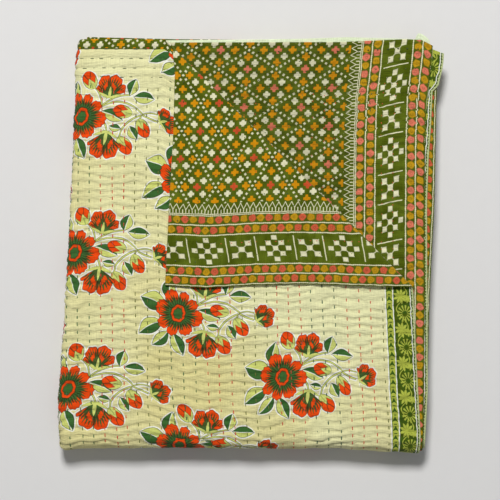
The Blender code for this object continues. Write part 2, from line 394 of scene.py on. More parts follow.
    def settled(self, points: np.ndarray) -> np.ndarray:
        """The even stack as it lies: leaning, with uneven sides, and a little higher in places.

        Args:
            points: places in the even stack.

        Returns:
            The places moved.
        """
        across = points[:, X] / self.width + 0.5
        along = points[:, Y] / self.length + 0.5
        left_table, near_table = np.array(self.up_the_left), np.array(self.along_the_near)
        left, swell = (np.interp(along, left_table[:, 0], left_table[:, k]) for k in (1, 2))
        near, more = (np.interp(across, near_table[:, 0], near_table[:, k]) for k in (1, 2))
        lying = points.copy()
        lying[:, X] += self.lean * points[:, Y] - left * np.clip(1 - across, 0, 1)
        lying[:, Y] -= near * np.clip(1 - along, 0, 1)
        lying[:, Z] *= 1 + swell + more
        return lying

    def folded(self, flat: np.ndarray) -> np.ndarray:
        """Takes flat places, with their height in the quilt, to where they lie in the stack.

        Args:
            flat: one row a point, drawn to the hems: X, Y, and Z from the back cloth's outer face.

        Returns:
            The same points in the stack, before it is centred.
        """
        points = self.turn_corner_back(flat)
        for fold, line, height in zip(self.folds, self.fold_lines(), self.heights()):
            points = self.tuck_under(points, fold.axis, line, height)
        return self.settled(points)

    def lengths(self, axis: int) -> tuple[np.ndarray, np.ndarray]:
        """Where each panel and bend ends on the even cloth, and its distance from the hem over it."""
        lines = self.fold_lines()
        first, last = self.pair(axis)
        low, far = self.limits(axis)
        panel = far - lines[last]
        second = lines[last] - self.bend_span - lines[first]
        ends = [far, lines[last], lines[last] - self.bend_span, lines[first]]
        ends += [lines[first] - self.bend_span, low + panel + self.bend_span, low + panel, low]
        arcs = [panel, self.folds[last].arc, second, self.folds[first].arc]
        arcs += [second, self.folds[last].arc, panel]
        return np.array(ends), np.concatenate(([0.0], np.cumsum(arcs)))

    def even_metres(self, axis: int, places: np.ndarray) -> np.ndarray:
        """Distance over the even cloth from the right or far hem, every bend at its outermost length."""
        ends, metres = self.lengths(axis)
        return np.interp(-places, -ends, metres)

    def even_places(self, metres: np.ndarray) -> np.ndarray:
        """The even places at some distances over the cloth: what cloth_metres does, the other way round."""
        even = np.zeros_like(metres)
        for _ in range(5):
            for axis in (X, Y):
                shift = self.cloth_metres(even)[:, axis] - self.even_metres(axis, even[:, axis])
                ends, table = self.lengths(axis)
                even[:, axis] = -np.interp(metres[:, axis] - shift, table, -ends)
        return even

    def woven_size(self, axis: int) -> float:
        """The cloth's width or length from hem to hem, with every bend at its outermost length."""
        return float(self.even_metres(axis, np.array([self.limits(axis)[0]]))[0])

    def cloth_metres(self, even: np.ndarray) -> np.ndarray:
        """Distances over the cloth in from the right hem and from the far hem.

        Args:
            even: even flat places, one row each.

        Returns:
            Two columns: the distance in from the right hem, and that down from the far hem. In the outer
            panels they run square to the hems as those really lie.
        """
        lines = self.fold_lines()
        found = []
        for axis, low_hem, high_hem in self.hems():
            low, far = self.limits(axis)
            first, last = (lines[number] for number in self.pair(axis))
            along = self.limits(1 - axis)[1] - even[:, 1 - axis]
            high = np.interp(even[:, axis], [first, last - self.bend_span, last, far], [0, 1, 1, 0])
            inner = low + far - last
            ends = [low, inner, inner + self.bend_span, first - self.bend_span]
            lower = np.interp(even[:, axis], ends, [0, 1, 1, 0])
            metres = self.even_metres(axis, even[:, axis])
            metres += high * self.slow_shift(high_hem, along)
            metres -= lower * self.slow_shift(low_hem, along)
            found.append(metres)
        return np.column_stack(found)

    def panel(self, across: int, down: int) -> tuple[float, float, float, float]:
        """Low X, high X, low Y and high Y of a flat panel, counted from the turned corner."""
        found = []
        for axis, number in ((X, across), (Y, down)):
            two, one = (self.fold_lines()[fold] for fold in self.pair(axis))
            low, far = self.limits(axis)
            span, last = self.bend_span, low + far - one
            edges = ((one, far), (two, one - span), (last + span, two - span), (low, last))
            found += edges[number]
        return tuple(found)


@dataclass(frozen=True)
class Waviness:
    """Smooth, even unevenness over the cloth, from a few seeded waves.

    Attributes:
        seed: what makes this pattern its own.
        across: shortest and longest wave in from the hem, in metres.
        down: the same away from the far hem.
        waves: how many waves are added up.
    """

    seed: int
    across: tuple[float, float]
    down: tuple[float, float]
    waves: int = 14

    def at(self, u: np.ndarray, v: np.ndarray) -> np.ndarray:
        """The unevenness at places on the cloth, mostly from -1 to 1."""
        rng = np.random.default_rng(self.seed)
        total = np.zeros_like(u, dtype=float)
        for _ in range(self.waves):
            length_u = math.exp(rng.uniform(*(math.log(x) for x in self.across)))
            length_v = math.exp(rng.uniform(*(math.log(x) for x in self.down)))
            sign = 1 if rng.random() < 0.5 else -1
            total += np.sin(2 * math.pi * (u / length_u + sign * v / length_v) + rng.uniform(0, 2 * math.pi))
        return total * math.sqrt(2 / self.waves) * 0.6


class Thread(Enum):
    """The sewing threads."""

    OLIVE = "olive"
    RED = "red"
    TEAL = "teal"
    GREEN = "green"
    HEM = "hem"


@dataclass(frozen=True)
class StitchPlan:
    """Where the running stitches go, and the puckers that they draw up.

    Attributes:
        first: distance in from the right hem of the first row.
        pitch: distance from row to row.
        stitch: distance from one stitch to the next along a row.
        hem_rows: distance from the far hem of each row that runs along it.
        hem_stitch: distance from one stitch to the next along the hem.
        height: how high the cloth puffs up between stitches.
        dip: how far a stitch pulls it in besides.
        colours: the thread of each row, from the right hem.
    """

    first: float = 0.0385
    pitch: float = 0.01465
    stitch: float = 0.0109
    hem_rows: tuple[float, ...] = (0.0105, 0.0228, 0.0350, 0.0462)
    hem_stitch: float = 0.0125
    height: float = 0.00185
    dip: float = 0.00045
    colours: tuple[Thread, ...] = (
        (Thread.OLIVE,)
        + (Thread.RED,) * 3
        + (Thread.TEAL,) * 3
        + (Thread.RED,) * 3
        + (Thread.OLIVE,) * 3
        + (Thread.RED,) * 3
        + (Thread.GREEN,) * 3
        + (Thread.OLIVE,) * 3
        + (Thread.RED,) * 3
        + (Thread.GREEN,) * 3
    )

    def row_place(self, row: np.ndarray, v: np.ndarray) -> np.ndarray:
        """How far in from the hem a row of stitches lies, by its number and the place along it."""
        wander = Waviness(3, (0.04, 0.2), (0.12, 0.5)).at(row * self.pitch, v)
        own = np.sin(row * 12.9898) * 0.0009
        return self.first + row * self.pitch + own + 0.0009 * wander

    def beats(self, u: np.ndarray, v: np.ndarray) -> np.ndarray:
        """Counts the puckers down the cloth. A stitch lies at each half count."""
        slow = Waviness(5, (0.09, 0.40), (0.05, 0.30)).at(u, v)
        quick = Waviness(8, (0.028, 0.07), (0.03, 0.12)).at(u, v)
        return v / self.stitch + 0.36 * slow + 0.19 * quick

    def columns_start(self) -> float:
        """Where the rows down the cloth start, below those along the far hem."""
        return self.hem_rows[-1] + 0.004

    def puff(self, u: np.ndarray, v: np.ndarray) -> np.ndarray:
        """How high the cloth puffs up, from 0 in a stitched valley to about 1 on a ridge.

        Args:
            u: distances in from the right hem.
            v: distances down from the far hem.

        Returns:
            A share for each place.
        """
        beat = self.beats(u, v)
        valley = 0.5 - 0.5 * np.cos(2 * math.pi * beat)
        body = 1 - valley**2.4
        uneven = Waviness(13, (0.03, 0.16), (0.02, 0.09)).at(u, v)
        fine = Waviness(17, (0.008, 0.022), (0.006, 0.018)).at(u, v)
        down = body * (0.74 + 0.42 * np.clip(uneven, -1.1, 0.8)) + 0.09 * fine
        hem = np.zeros_like(down)
        edges = (0.0,) + self.hem_rows + (self.hem_rows[-1] + 0.010,)
        for low, high in zip(edges, edges[1:]):
            inside = np.clip((v - low) / (high - low), 0, 1)
            hem += np.where((v >= low) & (v < high), np.sin(math.pi * inside) ** 0.45, 0)
        across = 0.5 + 0.5 * np.cos(2 * math.pi * u / self.hem_stitch + 2.2 * uneven)
        hem = hem * (1.05 + 0.22 * uneven) - 0.2 * across * (1 - hem) + 0.06 * fine
        share = np.clip((v - self.hem_rows[-1]) / 0.008, 0, 1)
        return hem * (1 - share) + down * share

    def dips(self, u: np.ndarray, v: np.ndarray) -> np.ndarray:
        """How deep the nearest stitch of a row pulls the cloth in, from 0 to 1.

        Args:
            u: distances in from the right hem.
            v: distances down from the far hem.

        Returns:
            A share for each place.
        """
        row = np.round((u - self.first) / self.pitch)
        off = u - self.row_place(row, v)
        beat = self.beats(u, v)
        along = (beat - np.floor(beat) - 0.5) * self.stitch
        near = np.exp(-((off / 0.0030) ** 2)) * np.exp(-((along / 0.0026) ** 2))
        return near * (v > self.columns_start()) * (row >= 0)

    def relief(self, u: np.ndarray, v: np.ndarray, side: Side) -> np.ndarray:
        """The outer face's height over its even place: up where it puffs, down where it is stitched."""
        if side is Side.BACK:
            v = v + self.stitch / 2
        return self.height * (self.puff(u, v) - 0.62) - self.dip * self.dips(u, v)


@dataclass
class FlatMesh:
    """A flat mesh that is finer in some cells of its grid than in others.

    Attributes:
        places: one row a vertex, X and Y on the even cloth.
        drawn: the same places drawn to the hems, once that is done.
        faces: vertex numbers of each face, anticlockwise seen from above.
        known: vertex numbers by place.
    """

    places: list[tuple[float, float]] = field(default_factory=list)
    drawn: list[tuple[float, float]] = field(default_factory=list)
    faces: list[tuple[int, ...]] = field(default_factory=list)
    known: dict[tuple[int, int], int] = field(default_factory=dict)

    def vertex(self, x: float, y: float) -> int:
        """The number of the vertex at a place, which is made if it is new."""
        key = (round(x * 1e7), round(y * 1e7))
        if key not in self.known:
            self.known[key] = len(self.places)
            self.places.append((x, y))
        return self.known[key]

    @staticmethod
    def cuts(count: int) -> list[float]:
        """Shares along an edge at its ends and at each cut."""
        return [k / count for k in range(count + 1)]

    def add_grid(
        self,
        xs: Sequence[float],
        ys: Sequence[float],
        fineness: Callable[[float, float, float, float], tuple[int, int]],
        border: "FlatMesh | None" = None,
    ) -> None:
        """Adds every cell between two sets of lines, cut as finely as asked.

        Args:
            xs: grid lines across.
            ys: grid lines along.
            fineness: gives the number of cuts across and along for a cell's low X, high X, low Y, high Y.
            border: a mesh whose outermost vertices this one has to share.
        """
        counts = {}
        for i in range(len(xs) - 1):
            for j in range(len(ys) - 1):
                counts[i, j] = fineness(xs[i], xs[i + 1], ys[j], ys[j + 1])
        outer: dict[tuple[int, float], list[float]] = {}
        if border is not None:
            for x, y in border.places:
                for axis, value, other, ends in ((0, x, y, xs), (1, y, x, ys)):
                    for end in (ends[0], ends[-1]):
                        if abs(value - end) < 1e-7:
                            outer.setdefault((axis, end), []).append(other)

        def edge(axis: int, line: int, cell: int) -> list[float]:
            """All the cuts on one cell edge, in metres: those of both its cells and of the border."""
            along = ys if axis == 0 else xs
            low, high = along[cell], along[cell + 1]
            cuts: set[float] = {0.0, 1.0}
            for side in (line - 1, line):
                key = (side, cell) if axis == 0 else (cell, side)
                if key in counts:
                    cuts.update(self.cuts(counts[key][1 - axis]))
            end = (xs if axis == 0 else ys)[line]
            found = {round(low + (high - low) * c, 9) for c in cuts}
            for other in outer.get((axis, end), ()):
                if low < other < high and min(abs(other - f) for f in found) > 2e-7:
                    found.add(other)
            return sorted(found)

        for (i, j), (nx, ny) in counts.items():
            x0, x1, y0, y1 = xs[i], xs[i + 1], ys[j], ys[j + 1]
            px = [round(x0 + (x1 - x0) * c, 9) for c in self.cuts(nx)]
            py = [round(y0 + (y1 - y0) * c, 9) for c in self.cuts(ny)]
            left, right = edge(0, i, j)[::-1], edge(0, i + 1, j)
            near, far = edge(1, j, i), edge(1, j + 1, i)[::-1]
            for a in range(nx):
                for b in range(ny):
                    low_x, high_x, low_y, high_y = px[a], px[a + 1], py[b], py[b + 1]
                    ring = [(low_x, low_y)]
                    ring += [(x, low_y) for x in (near if b == 0 else ()) if low_x < x < high_x]
                    ring.append((high_x, low_y))
                    ring += [(high_x, y) for y in (right if a == nx - 1 else ()) if low_y < y < high_y]
                    ring.append((high_x, high_y))
                    ring += [(x, high_y) for x in (far if b == ny - 1 else ()) if low_x < x < high_x]
                    ring.append((low_x, high_y))
                    ring += [(low_x, y) for y in (left if a == 0 else ()) if low_y < y < high_y]
                    self.faces.append(tuple(self.vertex(x, y) for x, y in ring))

    def cut_round_crease(self, stack: FoldedStack) -> "FlatMesh":
        """Draws the mesh to the hems, cuts it along the corner's bend and triangulates its larger faces."""
        start, outward = stack.crease()
        span = stack.turn_span()
        steps = [span * k / stack.turn_steps for k in range(stack.turn_steps + 1)]
        near, far = stack.settle_reach
        steps += [span + near, span + (near + far) / 2, span + far]
        low_x, _, low_y, _ = stack.panel(0, 0)
        shape = bmesh.new()
        kept = shape.verts.layers.float_vector.new("even")
        verts = []
        flat = np.column_stack((np.array(self.places), np.zeros(len(self.places))))
        for place, drawn in zip(self.places, stack.drawn_to_hems(flat)):
            verts.append(shape.verts.new(drawn))
            verts[-1][kept] = (*place, 0)
        for face in self.faces:
            shape.faces.new([verts[n] for n in face])
        faces = []
        for face in shape.faces:
            middle = face.calc_center_median()
            reach = max((vert.co - middle).length for vert in face.verts)
            past = (middle.x - start[0]) * outward[0] + (middle.y - start[1]) * outward[1]
            if middle.x > low_x and middle.y > low_y and -reach < past < steps[-1] + reach:
                faces.append(face)
        for step in steps:
            place = start + outward * step
            edges = {edge for face in faces for edge in face.edges}
            corners = {vert for face in faces for vert in face.verts}
            made = bmesh.ops.bisect_plane(
                shape,
                geom=faces + list(edges) + list(corners),
                dist=1e-6,
                plane_co=(place[0], place[1], 0),
                plane_no=(outward[0], outward[1], 0),
            )
            faces = [item for item in made["geom"] if isinstance(item, bmesh.types.BMFace)]
        bmesh.ops.triangulate(shape, faces=[face for face in shape.faces if len(face.verts) > 4])
        shape.verts.index_update()
        result = FlatMesh()
        result.places = [tuple(vert[kept][:2]) for vert in shape.verts]
        result.drawn = [tuple(vert.co[:2]) for vert in shape.verts]
        result.faces = [tuple(vert.index for vert in face.verts) for face in shape.faces]
        shape.free()
        return result

    def border_loop(self) -> list[int]:
        """The outermost vertices in order, anticlockwise from the lowest corner."""
        after: dict[int, int] = {}
        edges = set()
        for face in self.faces:
            for a, b in zip(face, face[1:] + face[:1]):
                edges.add((a, b))
        for a, b in edges:
            if (b, a) not in edges:
                after[a] = b
        start = min(after, key=lambda n: (round(self.places[n][0], 6), round(self.places[n][1], 6)))
        loop = [start]
        while after[loop[-1]] != start:
            loop.append(after[loop[-1]])
        return loop


@dataclass
class QuiltCloth:
    """One of the two cloths, folded up.

    Attributes:
        side: front or back.
        stack: the fold plan.
        stitches: the stitch plan, whose puckers the outer face takes.
        clear: how wide the change is from puckers to flat where another layer covers the cloth.
        column: width of the outer face's cells where it shows.
        rows: length of those cells on the front and on the back.
        bend_rows: how many rows of them there are round the last bend.
        lower_row: their length on the panel just under the top one.
        corner: size of the part at the lowest panel's own corner that has cells of its own.
        corner_cell: the size of those.
        hidden_cell: size of the cells that don't show.
    """

    side: Side
    stack: FoldedStack
    stitches: StitchPlan
    clear: float = 0.007
    column: float = 0.0036
    rows: tuple[float, float] = (0.00135, 0.0018)
    bend_rows: int = 3
    lower_row: float = 0.0024
    corner: tuple[float, float] = (0.05, 0.16)
    corner_cell: tuple[float, float] = (0.002, 0.004)
    hidden_cell: float = 0.06

    def covered(self, flat: np.ndarray, drawn: np.ndarray) -> np.ndarray:
        """How much of the puckers shows: 1 in the open, 0 where another layer covers them.

        Args:
            flat: even flat places, one row each.
            drawn: the same places drawn to the hems.

        Returns:
            A share for each place.
        """
        stack = self.stack
        start, outward = stack.crease()
        past = (drawn - start) @ outward
        low_x, high_x, low_y, high_y = stack.panel(0, 0)
        left, under_low = low_x - stack.bend_span, stack.panel(0, 1)[2]
        on_top = (flat[:, X] > left) & (flat[:, Y] > low_y - stack.bend_span)
        if self.side is Side.FRONT:
            mirror = drawn + outward * (stack.turn_span() - 2 * past)[:, None]
            right = high_x + stack.hem_shift(stack.right_hem, high_y - mirror[:, Y])
            top = high_y + stack.hem_shift(stack.far_hem, high_x - mirror[:, X])
            outside = np.maximum(mirror[:, X] - right, mirror[:, Y] - top)
            open_top = np.where(past > 0, -1.0, np.minimum(outside + 0.004, -past - 2 * stack.quilt))
            outer = (flat[:, X] > left) & (flat[:, Y] > under_low)
            hidden = np.minimum(flat[:, X] - left, flat[:, Y] - under_low - 0.004)
            found = np.where(on_top, open_top, np.where(outer, hidden, -1.0))
        else:
            second = stack.panel(3, 0)
            mirror_x = second[0] + high_x - flat[:, X]
            over = (np.column_stack((mirror_x, drawn[:, Y])) - start) @ outward
            on_second = (flat[:, X] < second[1]) & (flat[:, Y] > low_y)
            seen = np.where(on_second, over - 2 * stack.quilt, -1.0)
            found = np.where(on_top & (past > 0), past - stack.turn_span(), seen)
        return np.clip(found / self.clear, 0, 1)

    def outer_height(self, flat: np.ndarray, drawn: np.ndarray) -> np.ndarray:
        """Height of the cloth's outer face in the quilt.

        Args:
            flat: even flat places, one row each.
            drawn: the same places drawn to the hems.

        Returns:
            A height for each place.
        """
        u, v = self.stack.cloth_metres(flat).T
        relief = self.stitches.relief(u, v, self.side) * self.covered(flat, drawn)
        under = flat[:, Y] < self.stack.fold_lines()[3] - self.stack.bend_span * 0.75
        top = self.stitches.height * 0.38
        relief = np.where(under, np.minimum(relief - top, -0.00003), relief)
        return self.stack.quilt + relief if self.side is Side.FRONT else -relief

    def on_cloth(self, u: np.ndarray, v: np.ndarray) -> np.ndarray:
        """Places on the outer face of the folded cloth, by their distances over it."""
        even = self.stack.even_places(np.column_stack((u, v)))
        drawn = self.stack.drawn_to_hems(np.column_stack((even, np.zeros(len(even)))))
        drawn[:, Z] = self.outer_height(even, drawn[:, :2])
        return self.stack.folded(drawn)

    def open_at(self, u: np.ndarray, v: np.ndarray) -> np.ndarray:
        """Whether nothing covers the cloth at some distances over it."""
        even = self.stack.even_places(np.column_stack((u, v)))
        drawn = self.stack.drawn_to_hems(np.column_stack((even, np.zeros(len(even)))))
        return self.covered(even, drawn[:, :2]) > 0.5

    @staticmethod
    def pieces(length: float, piece: float, short: float = 0.003) -> int:
        """How many pieces the side of a cell is cut into: one if it is short."""
        return max(1, round(length / piece)) if length > short else 1

    def fineness(self, x0: float, x1: float, y0: float, y1: float) -> tuple[int, int]:
        """How finely the outer face of a cell is cut, by where it shows.

        Args:
            x0: the cell's low X.
            x1: its high X.
            y0: its low Y.
            y1: its high Y.

        Returns:
            Its cuts across and along.
        """
        stack, front = self.stack, self.side is Side.FRONT
        x, y = (x0 + x1) / 2, (y0 + y1) / 2
        wide, long = x1 - x0, y1 - y0
        low_x, _, low_y, _ = stack.panel(0, 0)
        right_side = x > low_x - stack.bend_span
        columns = self.pieces(wide, self.column)
        rows = self.pieces(long, self.rows[0 if front else 1])
        if y > low_y and (right_side or (not front and x < stack.panel(3, 0)[1])):
            return columns, rows
        if front and right_side and y > low_y - stack.bend_span:
            return columns, self.bend_rows
        if front and right_side and y > stack.panel(0, 1)[2]:
            return max(1, columns // 2), self.pieces(long, self.lower_row)
        if x1 < stack.limits(X)[0] + self.corner[X] and y1 < stack.limits(Y)[0] + self.corner[Y]:
            return round(wide / self.corner_cell[X]), round(long / self.corner_cell[Y])
        return self.pieces(wide, self.hidden_cell, 0.02), self.pieces(long, self.hidden_cell, 0.02)

    def inner_fineness(self, x0: float, x1: float, y0: float, y1: float) -> tuple[int, int]:
        """How finely the inner face of a cell is cut: in pieces only on top, to follow the turned corner.

        Args:
            x0: the cell's low X.
            x1: its high X.
            y0: its low Y.
            y1: its high Y.

        Returns:
            Its cuts across and along.
        """
        low_x, high_x, low_y, high_y = self.stack.panel(0, 0)
        if x0 < low_x - 1e-6 or y0 < low_y - 1e-6:
            return 1, 1
        columns, rows = self.fineness(x0, x1, y0, y1)
        return (
            columns if y1 > high_y - 1e-6 else max(1, columns // 4),
            rows if x1 > high_x - 1e-6 else max(1, rows // 10),
        )

    def hem_profile(self) -> list[tuple[float, float]]:
        """How far out and how high each ring round the hem lies, from the outer face to the inner."""
        cloth, quilt = self.stack.cloth, self.stack.quilt
        rings = [(0.00030, 0.96), (0.00065, 0.72), (0.00078, 0.36), (0.00062, 0.06), (0.00020, -0.02)]
        if self.side is Side.FRONT:
            return [(out, quilt / 2 + (quilt / 2) * share) for out, share in rings]
        return [(out, quilt / 2 - (quilt / 2) * share) for out, share in rings]

    def build(self) -> Object:
        """Makes the cloth as one closed, folded mesh with its distances from the hems as its UV map."""
        stack = self.stack
        xs = [round(x, 9) for x in stack.stations(X)]
        ys = [round(y, 9) for y in stack.stations(Y)]
        outer, inner = FlatMesh(), FlatMesh()
        outer.add_grid(xs, ys, self.fineness)
        inner.add_grid(xs, ys, self.inner_fineness, border=outer)
        outer = outer.cut_round_crease(stack)
        inner = inner.cut_round_crease(stack)
        outer_loop, inner_loop = outer.border_loop(), inner.border_loop()
        if len(outer_loop) != len(inner_loop):
            raise ValueError(f"the hems of {self.side} differ: {len(outer_loop)} and {len(inner_loop)}")

        up = self.side is Side.FRONT
        even = [np.array(outer.places), np.array(inner.places)]
        drawn = [np.array(outer.drawn), np.array(inner.drawn)]
        inner_z = stack.quilt - stack.cloth if up else stack.cloth
        depth = [self.outer_height(even[0], drawn[0]), np.full(len(even[1]), inner_z)]
        inner_start = len(even[0])
        faces = [face if up else face[::-1] for face in outer.faces]
        faces += [tuple(inner_start + n for n in (face[::-1] if up else face)) for face in inner.faces]

        ring_even, ring_drawn = even[0][outer_loop], drawn[0][outer_loop]
        low, high = np.array([stack.limits(axis) for axis in (X, Y)]).T
        outward = (np.abs(ring_even - high) < 1e-6).astype(float) - (np.abs(ring_even - low) < 1e-6)
        level = stack.quilt if up else 0.0
        raised = depth[0][outer_loop] - level
        last = list(outer_loop)
        start = inner_start + len(even[1])
        for out, height in self.hem_profile():
            share = min(abs(height - inner_z) / abs(level - inner_z), 1)
            even.append(ring_even)
            drawn.append(ring_drawn + outward * out)
            depth.append(height + raised * share)
            ring = list(range(start, start + len(ring_even)))
            self.join_rings(faces, last, ring)
            last, start = ring, start + len(ring)
        self.join_rings(faces, last, [inner_start + n for n in inner_loop])
        points = np.column_stack((np.vstack(drawn), np.concatenate(depth)))
        metres = stack.cloth_metres(np.vstack(even))
        if self.side is Side.BACK:
            more, more_metres, more_faces = TurnedHem(stack, self.stitches).build()
            faces += [tuple(len(points) + n for n in face) for face in more_faces]
            points, metres = np.vstack((points, more)), np.vstack((metres, more_metres))
        return self.make_object(points, metres, faces)

    def join_rings(self, faces: list[tuple[int, ...]], one: list[int], two: list[int]) -> None:
        """Adds a strip of faces between two rings round the hem."""
        for k in range(len(one)):
            n = (k + 1) % len(one)
            face = (one[n], one[k], two[k], two[n])
            faces.append(face if self.side is Side.FRONT else face[::-1])

    def make_object(
        self, points: np.ndarray, metres: np.ndarray, faces: list[tuple[int, ...]]
    ) -> Object:
        """Folds flat points and makes them an object with a UV map in metres over the cloth.

        Args:
            points: places drawn to the hems, with their heights in the quilt.
            metres: their distances over the cloth.
            faces: vertex numbers of each face.

        Returns:
            The object.
        """
        name = f"{self.side.value}_printed_cloth"
        mesh = bpy.data.meshes.new(name)
        mesh.from_pydata(self.stack.folded(points).tolist(), [], faces)
        mesh.update()
        layer = mesh.uv_layers.new(name="cloth")
        corners = np.empty(len(mesh.loops), np.int32)
        mesh.loops.foreach_get("vertex_index", corners)
        layer.data.foreach_set("uv", metres[corners].astype(np.float32).ravel())
        mesh.shade_smooth()
        return add_object(name, mesh)


class StitchNodes:
    """The geometry nodes that lay one thread's stitches on points, as solid lengths of yarn."""

    LENGTH, THICKNESS, UNEVEN, SEED, YARN = "Length", "Thickness", "Uneven", "Seed", "Yarn"

    def build(self) -> NodeTree:
        """Makes the node tree. Each point carries its turn as an Euler angle, and its own length share."""
        tree = bpy.data.node_groups.new("running_stitches", "GeometryNodeTree")
        tree.interface.new_socket("Geometry", in_out="INPUT", socket_type="NodeSocketGeometry")
        for name, kind in (
            (self.LENGTH, "NodeSocketFloat"),
            (self.THICKNESS, "NodeSocketFloat"),
            (self.UNEVEN, "NodeSocketFloat"),
            (self.SEED, "NodeSocketInt"),
            (self.YARN, "NodeSocketMaterial"),
        ):
            tree.interface.new_socket(name, in_out="INPUT", socket_type=kind)
        tree.interface.new_socket("Geometry", in_out="OUTPUT", socket_type="NodeSocketGeometry")
        given = tree.nodes.new("NodeGroupInput").outputs

        def node(kind: str, inputs: dict[str | int, object], **settings: str) -> Node:
            """Adds a node, with its settings, and with each input linked or set."""
            made = tree.nodes.new(kind)
            for name, value in settings.items():
                setattr(made, name, value)
            for name, value in inputs.items():
                if isinstance(value, NodeSocket):
                    tree.links.new(value, made.inputs[name])
                else:
                    made.inputs[name].default_value = value
            return made

        def product(one: NodeSocket, factor: float) -> NodeSocket:
            """A size times a factor."""
            return node("ShaderNodeMath", {0: one, 1: factor}, operation="MULTIPLY").outputs[0]

        def place(x: float, z: float) -> NodeSocket:
            """A place along the stitch and over the cloth, in lengths and thicknesses."""
            sizes = {"X": product(given[self.LENGTH], x), "Z": product(given[self.THICKNESS], z)}
            return node("ShaderNodeCombineXYZ", sizes).outputs[0]

        ends = {"Start": place(-0.5, -0.75), "Middle": place(0.0, 0.95), "End": place(0.5, -0.75)}
        line = node("GeometryNodeCurveQuadraticBezier", {"Resolution": 4} | ends)
        radius = product(given[self.THICKNESS], 0.5)
        ring = node("GeometryNodeCurvePrimitiveCircle", {"Resolution": 5, "Radius": radius})
        curves = {"Curve": line.outputs[0], "Profile Curve": ring.outputs["Curve"]}
        yarn = node("GeometryNodeCurveToMesh", curves | {"Fill Caps": True})
        turn = node("GeometryNodeInputNamedAttribute", {"Name": "turn"}, data_type="FLOAT_VECTOR")
        rotation = node("FunctionNodeEulerToRotation", {0: turn.outputs["Attribute"]})
        shortest = node("ShaderNodeMath", {0: 1.0, 1: given[self.UNEVEN]}, operation="SUBTRACT")
        least = node("ShaderNodeCombineXYZ", {"X": shortest.outputs[0], "Y": 0.85, "Z": 0.85})
        sizes = {0: least.outputs[0], 1: (1.12, 1.15, 1.1), "Seed": given[self.SEED]}
        scale = node("FunctionNodeRandomValue", sizes, data_type="FLOAT_VECTOR")
        parts = {"Points": given["Geometry"], "Instance": yarn.outputs[0]}
        parts |= {"Rotation": rotation.outputs[0], "Scale": scale.outputs[0]}
        laid = node("GeometryNodeInstanceOnPoints", parts)
        real = node("GeometryNodeRealizeInstances", {0: laid.outputs[0]})
        dyed = node("GeometryNodeSetMaterial", {"Geometry": real.outputs[0], "Material": given[self.YARN]})
        node("NodeGroupOutput", {0: dyed.outputs[0]})
        return tree


@dataclass(frozen=True)
class StitchRow:
    """Stitches of one kind, as distances over the cloth.

    Attributes:
        thread: their thread.
        side: the cloth that they lie on.
        u: distance in from the right hem of each.
        v: distance down from the far hem of each.
        length: how long each is.
        along_hem: whether they run along the far hem, not down the cloth.
    """

    thread: Thread
    side: Side
    u: np.ndarray
    v: np.ndarray
    length: float
    along_hem: bool = False


